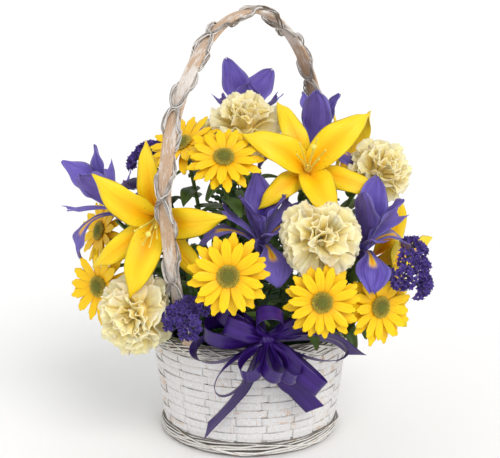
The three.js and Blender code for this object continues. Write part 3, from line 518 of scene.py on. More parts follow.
def makeLilyFinish():
    at, veins, colour = petalFinish("lilyPetal", {
        "roughness": 0.42, "across": 15.0, "along": 1.2, "base": (250, 176, 0), "baseTo": 0.3,
        "middle": (250, 208, 12), "tip": (242, 208, 36), "tipFrom": 0.6, "veins": 0.35,
        "vein": (246, 188, 4), "patches": 0.3, "patch": (252, 226, 50), "vary": 0.25, "glow": 0.15})
    rib = fromMiddle(at["u"])
    band = times(fade(rib, 0.04, 0.32), fade(at["v"], 0.35, 0.95), 0.85)
    furrow = times(fade(rib, 0.0, 0.05), fade(at["v"], 0.02, 0.34), 0.55)
    spots = addNode(treeOf(rib), "ShaderNodeTexVoronoi", {"Vector": stretched(at["lie"], (11, 26, 1)), "Scale": 1.0,
                                                          "Randomness": 1.0})
    near = times(span(at["v"], 0.1, 0.16), fade(at["v"], 0.3, 0.4), minus(1.0, at["r"]))
    dots = times(fade(spots.outputs["Distance"], 0.1, 0.22), near)
    colour = painted(colour, (band, (255, 184, 0)), (furrow, (150, 150, 20)), (times(dots, 0.75), (96, 40, 8)),
                     (times(at["r"], 0.35), (238, 214, 70)))
    return finished(at, colour, None, plus(veins, dots), 0.35, 0.0004)


def makeIrisFinish():
    # g is 1 on a fall, which has a yellow signal, orange in its middle, with a pale violet rim
    at, veins, colour = petalFinish("irisPetal", {
        "roughness": 0.5, "across": 26.0, "along": 1.6, "base": (52, 28, 116), "baseTo": 0.25,
        "middle": (72, 46, 148), "tip": (100, 84, 188), "tipFrom": 0.45, "veins": 0.8,
        "vein": (46, 24, 106), "patches": 0.5, "patch": (128, 112, 208), "vary": 0.8, "sheen": 0.15})
    away = fromMiddle(at["u"])
    signal = times(span(at["v"], 0.16, 0.3), fade(at["v"], 0.56, 0.68), at["g"], minus(1.0, at["r"]))
    colour = painted(colour, (times(span(away, 0.3, 0.5), 0.45), (134, 124, 214)),
                     (times(fade(away, 0.13, 0.24), signal, 0.6), (168, 150, 216)),
                     (times(fade(away, 0.09, 0.15), signal), (255, 204, 20)),
                     (times(fade(away, 0.02, 0.07), signal, 0.8), (255, 158, 8)))
    return finished(at, colour, None, veins, 0.7, 0.0009)


def makeDaisyFinish():
    at, veins, colour = petalFinish("daisyRay", {
        "roughness": 0.45, "across": 7.0, "along": 1.0, "base": (240, 150, 0), "baseTo": 0.55,
        "middle": (253, 198, 0), "tip": (254, 210, 4), "tipFrom": 0.55, "veins": 0.35,
        "vein": (246, 176, 0), "patches": 0.25, "patch": (255, 216, 14), "vary": 0.3, "glow": 0.12})
    furrows = combined("COSINE", times(at["u"], 18.85))  # three furrows, 6 pi
    colour = painted(colour, (span(furrows, 0.4, 1.0, 0.0, 0.22), (246, 176, 0)),
                     (times(at["r"], 0.3), (250, 214, 60)))
    return finished(at, colour, None, minus(veins, furrows), 0.3, 0.0003)


def makeCarnationFinish():
    at, veins, colour = petalFinish("carnationPetal", {
        "roughness": 0.6, "across": 14.0, "along": 1.0, "base": (246, 200, 96), "baseTo": 0.66,
        "middle": (255, 234, 156), "tip": (255, 244, 198), "tipFrom": 0.6, "veins": 0.3,
        "vein": (252, 214, 124), "patches": 0.25, "patch": (255, 236, 168), "vary": 0.4, "sheen": 0.0, "glow": 0.55})
    return finished(at, colour, None, veins, 0.35, 0.0004)


def makeStaticeFinish():
    # g is 1 on the green, winged twigs
    at, veins, colour = petalFinish("staticeFlower", {
        "roughness": 0.75, "across": 9.0, "along": 2.0, "base": (34, 18, 72), "baseTo": 0.6,
        "middle": (60, 34, 122), "tip": (86, 60, 158), "tipFrom": 0.7, "veins": 0.6,
        "vein": (38, 20, 86), "patches": 0.4, "patch": (106, 84, 178), "vary": 0.8, "sheen": 0.2, "glow": 0.0})
    return finished(at, painted(colour, (at["g"], (70, 92, 50))), None, veins, 0.6, 0.0004)


def makeGreenFinish(name, dark, light, back, roughness=0.5, glow=0.05):
    # g is 1 on a leaf blade, which has a pale midrib and a dry tip, and 0 on a stem
    at = newFinish(name, Roughness=roughness, Subsurface_Weight=glow, Subsurface_Scale=0.003, Sheen_Weight=0.08)
    veins = useGroup(veinGroup, {"Lie": at["lie"], "Across": 18.0, "Along": 3.0})
    patches = noise(at["place"], 60.0)
    streaks = noise(at["lie"], 1.0, 4.0, 0.6, (20, 260, 1))
    rib = times(fade(fromMiddle(at["u"]), 0.0, 0.06), at["g"])
    colour = painted(blended(span(patches, 0.3, 0.7), rgb(*dark), rgb(*light)), (times(at["b"], 0.4), light),
                     (times(span(streaks, 0.45, 0.65), 0.3), back), (times(rib, 0.55), back),
                     (times(at["r"], at["g"], 0.55), back),
                     (times(span(at["v"], 0.93, 1.0), at["g"], 0.35), (104, 110, 40)))
    height = plus(times(veins["Mask"], 0.5), plus(streaks, rib))
    return finished(at, colour, span(patches, 0.3, 0.7, roughness - 0.08, roughness + 0.1), height, 0.35, 0.0004)


def makeWashedFinish(name, wood, wash, cover, strength=0.5):
    # r is painted shade, deeper where a place lies deeper in the weave, and on the cords a darker tone of some strands;
    # b a tint of each splint
    at = newFinish(name, Roughness=0.72)
    washed = useGroup(washGroup, {"Lie": at["lie"], "Wood": rgb(*wood), "Wash": rgb(*wash), "Cover": cover,
                                  "Tint": at["b"], "Depth": at["r"]})
    return finished(at, washed["Colour"], span(washed["Covered"], 0.0, 1.0, 0.6, 0.8), washed["Height"], strength)


def makeSatinFinish():
    # satin weave: threads across the ribbon, soft folds painted lighter on their crests and darker in their hollows as
    # light and shade, and a dark woven edge
    at = newFinish("satinRibbon", Roughness=0.34, Sheen_Weight=0.05, Sheen_Roughness=0.3, Specular_IOR_Level=0.35,
                   Anisotropic=0.5)
    at["shader"].inputs["Sheen Tint"].default_value = rgb(150, 120, 220)
    folds = noise(at["lie"], 1.0, 3.0, 0.5, (4, 2.5, 1))
    threads = combined("SINE", times(at["v"], 2600.0))  # 414 threads in a metre
    edge = span(fromMiddle(at["u"]), 0.455, 0.49)
    # painted light and shade: the colour follows the folds' bump, lighter where they rise
    colour = blended(span(folds, 0.3, 0.7), rgb(44, 16, 92), rgb(58, 26, 116))
    height = plus(times(threads, 0.08), plus(times(folds, 1.5), edge))
    colour = painted(colour, (times(edge, 0.5), (34, 12, 66)))
    return finished(at, colour, span(folds, 0.3, 0.7, 0.28, 0.42), height, 0.35)


def makeEyeFinish():
    # r is the distance from the eye's middle: green inside, florets with yellow tips outside, and painted shade, olive
    # brown, low between the florets and on the dome beneath them
    at = newFinish("daisyEye", Roughness=0.65, Sheen_Weight=0.2)
    colour = blended(span(at["r"], 0.25, 0.8), rgb(128, 146, 40), rgb(164, 140, 26))
    tips = times(span(at["v"], 0.45, 0.95), span(at["r"], 0.45, 0.85, 0.25, 0.9))
    # olive brown at the florets' feet and on the dome: painted shade between the florets
    return finished(at, painted(colour, (tips, (206, 188, 50)), (span(at["v"], 0.1, 0.5, 0.8, 0.0), (92, 84, 24)),
                                (times(at["b"], 0.4), (96, 84, 26))))


def makeFoamFinish():
    at = newFinish("wetFoam", Roughness=0.9)
    place = at["place"]
    pores = addNode(treeOf(place), "ShaderNodeTexVoronoi", {"Vector": place, "Scale": 650.0}).outputs["Distance"]
    soft = noise(place, 40.0, 4.0)
    colour = blended(span(soft, 0.3, 0.7), rgb(30, 58, 30), rgb(46, 82, 42))
    # painted shade: darker in the pits that the pores make in the bump
    colour = painted(colour, (span(pores, 0.1, 0.5, 0.5, 0.0), (16, 32, 18)))
    return finished(at, colour, None, plus(pores, soft), 0.8, 0.001)


def makeLinerFinish():
    at = newFinish("linerPlastic", Roughness=0.4)
    rough = noise(at["place"], 25.0, 4.0)
    colour = blended(span(rough, 0.3, 0.7), rgb(26, 34, 26), rgb(38, 48, 36))
    return finished(at, colour, span(rough, 0.3, 0.7, 0.35, 0.55), rough, 0.2)


def makeBoardFinish(name, cover):
    # wood drawn from Object coordinates, for the pieces of the frame that have no uv of their own
    at = newFinish(name, Roughness=0.7)
    washed = useGroup(washGroup, {"Lie": stretched(at["place"], (10, 10, 10)), "Wood": rgb(186, 160, 130),
                                  "Wash": rgb(232, 228, 220), "Cover": cover})
    return finished(at, washed["Colour"], None, washed["Height"], 0.4)


lilyPetal = makeLilyFinish()
irisPetal = makeIrisFinish()
daisyRay = makeDaisyFinish()
carnationPetal = makeCarnationFinish()
staticeFlower = makeStaticeFinish()
stemGreen = makeGreenFinish("stemGreen", (44, 76, 24), (88, 122, 46), (116, 146, 72))
fernGreen = makeGreenFinish("fernGreen", (26, 62, 22), (52, 98, 38), (94, 134, 72), 0.55)
stamenGreen = makeGreenFinish("stamenGreen", (214, 206, 70), (240, 226, 104), (246, 230, 130), 0.5, 0.1)
washedSplint = makeWashedFinish("washedSplint", (218, 186, 154), (228, 232, 236), 0.62)
washedRod = makeWashedFinish("washedRod", (186, 160, 130), (240, 240, 238), 0.62)
handleSplint = makeWashedFinish("handleSplint", (208, 178, 150), (226, 222, 218), 0.42, 0.35)
handleCord = makeWashedFinish("handleCord", (140, 122, 104), (234, 230, 226), 0.54)
satinRibbon = makeSatinFinish()
daisyEyeFinish = makeEyeFinish()
print("finishes made")


# the basket: foot and rim are the heights between which the weavers lie

basket = {"height": 114, "rimRadius": 98, "footRadius": 84, "foot": 16.4, "rim": 97, "rows": 10, "stakes": 20,
          "slope": 0.123, "weave": 0.8, "weaverThick": 1.2, "stakeWidth": 25, "stakeThick": 1.1}
rowTall = (basket["rim"] - basket["foot"]) / basket["rows"]


def wallRadius(z):
    # straight from the foot's radius to the rim's
    return mix(basket["footRadius"], basket["rimRadius"], z / basket["height"])


def squaredRound(k, power):
    # a rounded rectangle as (|cos|^p, |sin|^p) with their signs
    c, s = np.cos(k), np.sin(k)
    return np.sign(c) * np.abs(c) ** power, np.sign(s) * np.abs(s) ** power


def eased(wave, k):
    # tanh(k wave) / tanh(k): a wave with flatter tops
    return np.tanh(k * wave) / math.tanh(k)


def weavers():
    # ring j: r(turn) = R(z) + weave (-1)^j cos(stakes turn / 2) eased flat, tall by thick, rounded section
    turn = circle(12 * basket["stakes"])
    c, s = squaredRound(circle(12), 0.45)
    parts = []
    for j in range(basket["rows"]):
        z = basket["foot"] + (j + 0.5) * rowTall + 0.35 * ripple(turn, 50 + j, 6)
        wave = eased((-1) ** j * np.cos(basket["stakes"] * turn / 2), 2.2)
        r = wallRadius(z) + basket["weave"] * wave + 0.25 * ripple(turn, 70 + j, 7)
        half = rowTall / 2 * (0.985 + 0.03 * ripple(turn, 90 + j, 5))
        level = z[:, None] + half[:, None] * s
        deep = r[:, None] + basket["weaverThick"] / 2 * c + basket["slope"] * (level - z[:, None])
        # painted shade: darker where a weaver dips under a stake and along its top and bottom edges, that edge shade
        # broken here and there
        broken = np.clip(0.35 + 0.7 * ripple(11 * turn, 110 + j, 9), 0, 1)[:, None]
        paintedShade = smooth(0.2, -0.9, wave)[:, None] * 0.22 + smooth(0.8, 1.0, np.abs(s)) * 0.85 * broken
        tint = 0.5 + 0.5 * ripple(turn * basket["stakes"] / 6, 130 + j, 5)
        parts.append(hoopSurface(polar(deep, turn[:, None], level), (turn * 90 / 100 + 3.1 * j)[:, None],
                                 s * rowTall / 200 + 0.2 * j, r=np.clip(paintedShade, 0, 1), b=tint[:, None]))
    return parts


def stakes():
    # stake n: r(z) = R(z) - weave (-1)^(n + row) cos(pi row position), the weavers' wave turned over
    z = np.linspace(basket["foot"] - 5, basket["rim"] + 6, 76)
    c, s = squaredRound(circle(14), 0.4)
    parts = []
    for n in range(basket["stakes"]):
        middle = fullTurn * n / basket["stakes"] + wobble(17, n, 0.012) + 0.008 * ripple(z / 12, 200 + n, 3)
        place = (z - basket["foot"]) / rowTall - 0.5
        wave = eased(-((-1) ** n) * np.cos(math.pi * place), 1.6)
        inside = smooth(basket["foot"], basket["foot"] + 4, z) * smooth(basket["rim"], basket["rim"] - 4, z)
        r = wallRadius(z) + basket["weave"] * wave * inside
        half = basket["stakeWidth"] / 2 * (1 + wobble(19, n, 0.05))
        deep = r[:, None] + basket["stakeThick"] / 2 * c - 0.25 * s**2
        turn = middle[:, None] + half * s / wallRadius(z)[:, None]
        # painted shade: darker where a stake dips under a weaver and along its two edges
        paintedShade = smooth(0.2, -0.9, wave)[:, None] * 0.3 + smooth(0.9, 1.0, np.abs(s)) * 0.5
        parts.append(tube(polar(deep, turn, z[:, None]), (z / 100 + 1.7 * n)[:, None], s * half / 100 + 0.3 * n,
                          r=np.clip(paintedShade, 0, 1), b=shade(23, n)))
    return parts


# each lay of a border has its twist and its number of rods
border = {"thick": 3.7, "tall": 6.4, "strand": 1.3, "core": 2.2, "sides": 8}
borders = [
    {"name": "rim_twist", "node": "rim_border", "middle": 97.6, "level": 105.2, "seed": 300,
     "lays": [(3, 13), (-5, 5)]},
    {"name": "foot_twist", "node": "foot_border", "middle": 84.4, "level": 8.3, "seed": 400,
     "lays": [(1, 12), (-2, 3)]},
]


def twistedBorder(f):
    # rod j of a lay winds on an ellipse, (thick cos p, tall sin p) with p = twist t + 2 pi j / rods
    t, seed = circle(480), f["seed"]
    rods = [(twist, k / count) for twist, count in f["lays"] for k in range(count)]
    parts = []
    for j, (twist, phase) in enumerate(rods):
        p = twist * t + fullTurn * phase + 0.16 * ripple(3 * t, seed + j, 9)
        layer = 0.5 if twist < 0 else -0.3
        r = f["middle"] + (border["thick"] + layer) * np.cos(p) + 0.35 * ripple(2 * t, seed + 20 + j, 7)
        z = f["level"] + (border["tall"] + layer) * np.sin(p) + 0.5 * ripple(2 * t, seed + 40 + j, 7)
        line = polar(r, t, z)
        ahead = unit(np.roll(line, -1, 0) - np.roll(line, 1, 0))
        radius = border["strand"] * (1 + 0.12 * ripple(t, seed + 60 + j, 9))
        rings = around(line, ahead, polar(1.0, t, 0), radius, border["sides"])
        rings[..., 2] = np.maximum(rings[..., 2], 0.0)  # nothing goes below the floor
        # painted shade: darker on the sides of each rod that face its neighbours along the lay
        slope = np.arctan2(border["tall"] * np.cos(p), -border["thick"] * np.sin(p))
        under = smooth(0.4, 0.98, np.abs(np.cos(circle(border["sides"]) - slope[:, None]))) * 0.97
        parts.append(hoopSurface(rings, (t * f["middle"] / 100)[:, None] + 2 * j,
                                 thereAndBack(border["sides"]) * 0.05, r=under, b=shade(seed, j)))
    return parts


def borderCore(f):
    # a plain ring inside the twist, so that no light comes through, with a rounded section, core by tall, painted dark
    # brown all over as the shade inside the twist
    c, s = squaredRound(circle(12), 0.6)
    z = np.maximum(f["level"] + border["tall"] * s, 0)
    rings = polar(f["middle"] + border["core"] * c, circle(96)[:, None], z)
    # r = 0.93: painted shade, dark brown, over the whole ring
    return hoopSurface(rings, rings[..., 0] / 100, rings[..., 1] / 100, r=0.93, b=0.5)


piece("woven_wall", weavers() + stakes(), washedSplint, "basket_wall")
for f in borders:
    piece(f["name"], twistedBorder(f) + [borderCore(f)], washedRod, f["node"])
for node, finish in (("basket_base", makeBoardFinish("baseBoard", 0.6)), ("liner", makeLinerFinish()),
                     ("floral_foam", makeFoamFinish()), ("bow_pick", makeBoardFinish("pickWood", 0.05))):
    nodes[node].data.materials.clear()
    nodes[node].data.materials.append(finish)
print("basket woven")


# the handle: feet are the lowest points of a leg, each its distance from the middle and its height
handle = {"turned": rad(55), "top": 414, "widest": 132, "widestAt": 254, "power": 2 / 1.92, "atRim": 102,
          "drawn": 140, "feet": [(83.5, 40), (90.5, 92), (93, 99), (98.5, 108)],
          "legLevels": [125, 145, 165, 185, 205, 230],
          "width": 14, "thick": 3, "turns": 8, "fromRim": 128, "tuck": 1.2, "strand": 0.56,
          "bundle": 1.5, "strands": 8, "cuts": 900}
hoopAcross = np.array([-math.sin(handle["turned"]), math.cos(handle["turned"]), 0])


def hoopLine(n):
    # upper half: u = widest |sin t|^p, z = widestAt + (top - widestAt) cos^p t; legs draw in as (fall)^1.5
    t = np.linspace(-math.pi / 2, math.pi / 2, 31)
    widest, widestAt = handle["widest"], handle["widestAt"]
    u = np.sign(t) * widest * np.abs(np.sin(t)) ** handle["power"]
    z = widestAt + (handle["top"] - widestAt) * np.maximum(np.cos(t), 0) ** handle["power"]
    feet, low = np.array(handle["feet"]), np.array(handle["legLevels"], float)
    fall = (widestAt - low) / handle["drawn"]
    legU = np.concatenate([feet[:, 0], widest - (widest - handle["atRim"]) * fall**1.5])
    legZ = np.concatenate([feet[:, 1], low])
    allU = np.concatenate([-legU, u, legU[::-1]])
    allZ = np.concatenate([legZ, z, legZ[::-1]])
    return evenly(throughPoints(polar(allU, handle["turned"], allZ), handle["cuts"]), n)


def hoopSplint():
    # point(i, k) = line_i + across (width / 2) C(k) + out (thick / 2) S(k), a rounded rectangle carried along
    line = hoopLine(260)
    out = np.cross(aheadOf(line), hoopAcross)
    c, s = squaredRound(circle(20), 0.35)
    far = lengthsAlong(line)
    half = handle["width"] / 2 * (1 + 0.02 * ripple(far / 60, 501, 4))
    rings = line[:, None] + hoopAcross * (half[:, None] * c)[..., None]
    rings = rings + out[:, None] * (handle["thick"] / 2 * s)[:, None]
    return tube(rings, (far / 100)[:, None], c * 0.07, b=0.5 + 0.5 * ripple(far / 30, 502, 4)[:, None])


def hoopLacing():
    # a cord's middle: across hand wide F(cos w), out deep F(sin w), F(x) = sign x |x|^0.45, w = 2 pi turns t;
    # its strands stand round it at angle 2 pi j / strands + length / 14
    steps, cuts = 560, handle["cuts"]
    at = evenly(hoopLine(1000), steps, handle["fromRim"])
    out = np.cross(aheadOf(at), hoopAcross)
    share = np.linspace(0, 1, steps)
    bulk = handle["strand"] + handle["bundle"] + clear
    wide, deep = handle["width"] / 2 + bulk - handle["tuck"], handle["thick"] / 2 + bulk
    parts = []
    for hand in (1, -1):
        w = fullTurn * handle["turns"] * share + 0.13 * math.pi + 0.1 * ripple(share * 14, 510 + hand, 4)
        c, s = squaredRound(w, 0.45)
        middle = evenly(at + hoopAcross * (hand * wide * c)[:, None] + out * (deep * s)[:, None], cuts)
        along = aheadOf(middle)
        side = unit(np.cross(along, np.array([0.31, -0.2, 0.93])))
        up = np.cross(along, side)
        for j in range(handle["strands"]):
            wander = 0.7 * ripple(np.linspace(0, 40, cuts), 520 + 7 * j + hand, 5)
            p = (fullTurn * j / handle["strands"] + lengthsAlong(middle) / 14 + wander)[:, None]
            loose = handle["bundle"] * (1 + 0.35 * ripple(np.linspace(0, 60, cuts), 540 + 3 * j + hand, 5))
            strand = middle + loose[:, None] * (side * np.cos(p) + up * np.sin(p))
            radius = handle["strand"] * (1 + 0.15 * ripple(np.linspace(0, 50, cuts), 560 + j + hand, 5))
            parts.append(rod(strand, radius, 6, side, b=shade(530 + hand, j), r=0.22 * (j % 4)))
    return parts


piece("handle_splint", [hoopSplint()], handleSplint, "handle_hoop")
piece("handle_cords", hoopLacing(), handleCord, "handle_lacing")
print("handle bent")


# stems and leaves: a stem enters the foam at this share of the head's distance from the middle, or at most so far
entry = {"share": 0.42, "most": 56, "z": 94}


def behind(at, facing, far):
    return np.array(at, float) - toward(facing) * far


def stemLine(at, facing, reach=26, n=40):
    # from inside the foam to the flower's underside: (1-t)^3 a + 3 t (1-t)^2 b + 3 t^2 (1-t) c + t^3 d
    d = np.array(at, float)
    share = min(entry["share"], entry["most"] / math.hypot(d[0], d[1]))
    a = np.array([d[0] * share, d[1] * share, entry["z"]])
    b, c = (a + d) / 2 + [0, 0, 6], behind(d, facing, reach)
    t = np.linspace(0, 1, n)[:, None]
    return a * (1 - t) ** 3 + 3 * b * t * (1 - t) ** 2 + 3 * c * t**2 * (1 - t) + d * t**3


def lanceLeaf(at, direction, length, half, droop=75, seed=0):
    # half(s) = half sin(pi s^0.75)^0.9, folded up along its midrib, arching from 4 to droop degrees
    s, x = np.linspace(0.004, 0.996, 22), np.linspace(-1, 1, 9)
    width = half * np.sin(math.pi * s**0.75) ** 0.9 + 0.25
    lift = half * 0.3 * np.abs(x) ** 1.3 - 0.3 + 0.1 * half * np.sin(9 * s + seed)[:, None] * x**2
    return petal(frameAt(at, direction), rad(-90), bent(s, length, rad(4), rad(droop), 1.2, 0, -4), width, x,
                 lift=lift, thick=0.8, g=1.0, b=shade(seed, 3))


def leavesAlong(line, picks, seed):
    # a leaf at each (share of the line, turn in degrees, length, half width, lean from the stem in degrees)
    parts = []
    for k, (share, turn, length, half, lean) in enumerate(picks):
        i = int(share * (len(line) - 1))
        ahead = unit(line[min(i + 1, len(line) - 1)] - line[max(i - 1, 0)])
        axes = frameAt(line[i], ahead)[1]
        way = axes[:, 0] * math.cos(rad(turn)) + axes[:, 1] * math.sin(rad(turn))
        way = way * math.sin(rad(lean)) + ahead * math.cos(rad(lean))
        parts.append(lanceLeaf(line[i], way, length, half, 60, seed + k))
    return parts


# lilies: turns are the petals' in degrees, and shares, broad and twists change their lengths, widths and turn
lily = {"length": 86, "petal": 15.5, "sepal": 11.5, "core": 6, "filament": 50, "pistil": 56, "anther": (1.0, 1.8),
        "stigma": (2.7, 1.8), "stalk": 2.6, "reach": 34, "leaves": 12, "leafHalf": 7.5}
lilies = [
    {"name": "lily_left", "at": [-85, -64, 229], "facing": [-0.12, -0.97, -0.08], "seed": 1,
     "turns": [10, 96, 136, 217, 252, 311], "leafWay": [-0.2, -0.3, 1], "leaf": 60},
    {"name": "lily_top", "at": [54, -34, 266], "facing": [0.04, -0.84, 0.5], "seed": 2,
     "turns": [39, 111, 158, 219, 286, 337], "shares": [1, 0.93, 0.92, 0.76, 0.95, 1],
     "leafWay": [-1, -0.2, 0.5], "leaf": 60},
    {"name": "lily_right", "at": [114, -8, 172], "facing": [0.9, -0.4, -0.05], "seed": 3, "open": 0.8, "size": 0.9,
     "turns": [20, 82, 140, 200, 262, 322], "shares": [1, 1, 0.95, 0.8, 1, 1], "broad": 1.3,
     "twists": [0, -1, 0, 0, 0, 0], "leafWay": [0.6, -0.9, 0.4], "leaf": 52,
     "press": [([127, -48, 166], [0.3, -0.95, 0.1], 42)]},
    {"name": "lily_back", "at": [88, 46, 246], "facing": [0.62, 0.35, 0.7], "seed": 4, "open": 0.55, "size": 0.9,
     "turns": [5, 66, 128, 184, 247, 304], "leafWay": [-0.5, 1, 0.5], "leaf": 56},
]


def lilyTepals(f):
    # half(s) = half sin(pi s^0.82)^0.9; lift = cup(s) x^2 + ruffle - groove exp(-(x / 0.13)^2) + ribs cos 9 x
    size, opened, seed = f.get("size", 1), f.get("open", 1), f["seed"]
    where = frameAt(f["at"], f["facing"])
    s, x = np.linspace(0.006, 0.994, 40), np.linspace(-1, 1, 17)
    parts = [spindle(where, [0, 0, 0], lily["core"], lily["core"], 8, 12)]
    for k, turn in enumerate(f["turns"]):
        outer = k % 2 == 1
        half, start, end, base = (lily["sepal"], 42, 128, -1) if outer else (lily["petal"], 24, 112, 2)
        length = lily["length"] * size * f.get("shares", [1] * 6)[k] * (1 + wobble(seed, k, 0.05))
        line = bent(s, length, rad(start) * opened, rad(end) * opened + wobble(seed, k + 20, 0.12), 1.1, 2, base)
        broad = half * size * f.get("broad", 1) * mix(0.5, 1, opened)
        cup = half * (mix(0.1, -0.28, s) if outer else mix(0.5, -0.34, s))[:, None]
        frill = ruffle(s, x, 2.0, 15, 2.3, 9 * wobble(seed, k + 50, 1), 0.15, 0.5)
        groove = -1.7 * np.exp(-((x / 0.13) ** 2)) * (1 - 0.5 * s)[:, None]
        ribs = 0.35 * np.cos(9 * x) * (1 - x**2) * np.sin(math.pi * s)[:, None]
        parts.append(petal(where, rad(turn), line, broad * np.sin(math.pi * s**0.82) ** 0.9 + 0.15, x,
                           f.get("twists", [0] * 6)[k] * smooth(0, 0.5, s), lift=cup * x**2 + frill + groove + ribs,
                           thick=mix(1.7, 0.8, s)[:, None], b=shade(seed, k + 70)))
    return parts


def lilyStamens(f):
    # filament(s) = out (2.6 + spread s^1.4) + axis (foot + (length - foot) s); the seventh is the pistil
    size, opened, seed = f.get("size", 1), f.get("open", 1), f["seed"]
    where = frameAt(f["at"], f["facing"])
    s = np.linspace(0, 1, 20)
    foot = lily["core"] + 4.3
    parts = [spindle(where, [0, 0, foot - 1], 4, 3.4, 8, 12)]
    for k in range(7):
        pistil = k == 6
        start, spread, length, thick = (0, 3, lily["pistil"], 1.25) if pistil else (
            2.6, 9 * opened + wobble(seed, k, 4), lily["filament"], 0.95)
        length = length * size + wobble(seed, k + 9, 2)
        line = placed(polar(start + spread * s**1.4, rad(f["turns"][k % 6] + 30), foot + (length - foot) * s), where)
        parts.append(rod(line, thick * mix(1, 0.62, s), 8, b=shade(seed, k + 30)))
        tip = (line[-1], where[1])
        parts.append(spindle(tip, [0, 0, 0.6], *lily["stigma"], 8, 12, 0.8, b=1.0) if pistil else
                     spindle(tip, [0, 0, 0.8], *lily["anther"], 8, 8, 0.8, b=0.9))
    return parts


def lilyStem(f):
    # a stalk with one leaf near its middle and smaller ones all along, each leafTurn on from the last
    seed = f["seed"]
    line = stemLine(behind(f["at"], f["facing"], lily["core"] + clear), f["facing"], lily["reach"])
    parts = [rod(line, lily["stalk"], 10), lanceLeaf(line[19], f["leafWay"], f["leaf"], lily["leafHalf"], seed=seed)]
    picks = [(0.3 + 0.05 * k, leafTurn * k, 52 - 2 * k, 7.2 - 0.2 * k, 44 + wobble(seed, k, 10))
             for k in range(lily["leaves"])]
    return parts + leavesAlong(line, picks, 30 * seed)


for f in lilies:
    name = f["name"]
    piece(name + "_bloom", pressed(lilyTepals(f), f.get("press", [])), lilyPetal, name + "_tepals")
    piece(name + "_centre", lilyStamens(f), stamenGreen, name + "_stamens")
    piece(name + "_stalk", lilyStem(f), stemGreen, name + "_stem")
print("lilies opened")


# irises: opens, shares and twists change how far the three standards open, their lengths and their turn
iris = {"standard": 65, "standardHalf": 14.6, "fall": 69, "haft": 4.8, "fallHalf": 17, "style": 45,
        "styleHalf": (3, 9), "tube": 6.5, "tubeTall": 11, "stalk": 2.6, "reach": 36, "sheath": 14,
        "leaves": [(0.25, 60, 66, 6, 20), (0.35, 190, 64, 6, 26), (0.45, 310, 60, 5.6, 24), (0.55, 100, 56, 5, 24),
                   (0.65, 230, 44, 4.4, 26)]}
irises = [
    {"name": "iris_left", "at": [-126, -18, 224], "facing": [-0.5, -0.25, 0.8], "roll": 2.6, "seed": 11},
    {"name": "iris_top", "at": [-4, 76, 289], "facing": [-0.02, 0.2, 1], "roll": 0.6, "seed": 12,
     "opens": [1.3, 1.7, 0.95], "shares": [0.74, 1.1, 1.1], "twists": [0, 0.75, -0.85]},
    {"name": "iris_back", "at": [62, 20, 270], "facing": [0.12, 0.1, 1], "roll": 1.2, "seed": 13},
    {"name": "iris_front", "at": [10, -58, 202], "facing": [0.02, -0.3, 0.95], "roll": 0.7, "seed": 14,
     "press": [([15, -56, 244], [0, -0.84, 0.5], 26)]},
    {"name": "iris_right", "at": [104, -62, 198], "facing": [0.2, -0.3, 0.92], "roll": 2.2, "seed": 15,
     "press": [([110, -58, 258], [0, 0.9, 0.3], 26)]},
]


def standard(f, where, k, s, x):
    # half(s) = standardHalf sin(pi s^1.22)^0.72, hollow inwards, ruffled and with a ragged tip
    seed = f["seed"]
    length = iris["standard"] * f.get("shares", [1] * 3)[k] * (1 + wobble(seed, k + 6, 0.06))
    end = rad(28) * f.get("opens", [1] * 3)[k] + wobble(seed, k + 3, 0.15)
    lift = (3.6 * np.sin(math.pi * s)[:, None] * x**2 - 0.9 * np.exp(-((x / 0.12) ** 2))
            + ruffle(s, x, 1.9, 17, 2, 5 * wobble(seed, k + 31, 1), 0.1, 0.5)
            + crease(s, x, 0.8, 10, 3, k, 0.1, 0.6))
    ragged = 1.5 * np.sin(8 * x + 4 * wobble(seed, k + 71, 1)) * (s**5)[:, None]
    return petal(where, rad(120 * k + 60) + wobble(seed, k, 0.12), bent(s, length, rad(6), end, 1, 3, 4),
                 iris["standardHalf"] * np.sin(math.pi * s**1.22) ** 0.72 + 0.5, x,
                 f.get("twists", [0] * 3)[k] * smooth(0, 0.6, s), lift=lift, thick=0.9, slide=ragged,
                 b=shade(seed, k + 60))


def fall(seed, where, k, s, x):
    # half(s): a haft that opens between s = 0.36 and 0.68 and rounds off at the tip as sqrt(1 - smooth)
    end = rad(160) + wobble(seed, k + 9, 0.2)
    tip = np.sqrt(np.clip(1 - smooth(0.72, 1.02, s), 0.004, 1))
    half = mix(iris["haft"], iris["fallHalf"], smooth(0.36, 0.68, s)) * tip
    lift = (1.2 * x**2 * smooth(0.6, 0.2, s)[:, None] - 0.8 * np.exp(-((x / 0.1) ** 2))
            + ruffle(s, x, 2.0, 19, 2, 5 * wobble(seed, k + 33, 1), 0.45, 0.75)
            + crease(s, x, 0.7, 9, 4, k, 0.5, 0.8))
    ragged = 1.4 * np.sin(9 * x + 4 * wobble(seed, k + 77, 1)) * (s**5)[:, None]
    return petal(where, rad(120 * k) + wobble(seed, k + 12, 0.12), bent(s, iris["fall"], rad(44), end, 1.1, 3, -1),
                 half, x, lift=lift, thick=1.0, slide=ragged, g=1.0, b=shade(seed, k + 63))


def styleArm(seed, where, k, s, x):
    # half(s) grows evenly along it, roofed over the fall by -2.2 sin(pi s) x^2, forked and turned up at the tip
    crest = smooth(0.78, 1, s)[:, None]
    lift = -2.2 * np.sin(math.pi * s)[:, None] * x**2 + 5.5 * crest * np.abs(x) ** 1.5
    slide = crest * (6 * np.abs(x) ** 1.4 - 3) + 0.8 * crest * np.sin(11 * x)
    line = bent(s, iris["style"], rad(30), rad(76), 0.9, 3, 6)
    return petal(where, rad(120 * k) + wobble(seed, k + 12, 0.12), line, mix(*iris["styleHalf"], s), x, lift=lift,
                 thick=0.9, slide=slide, b=0.8)


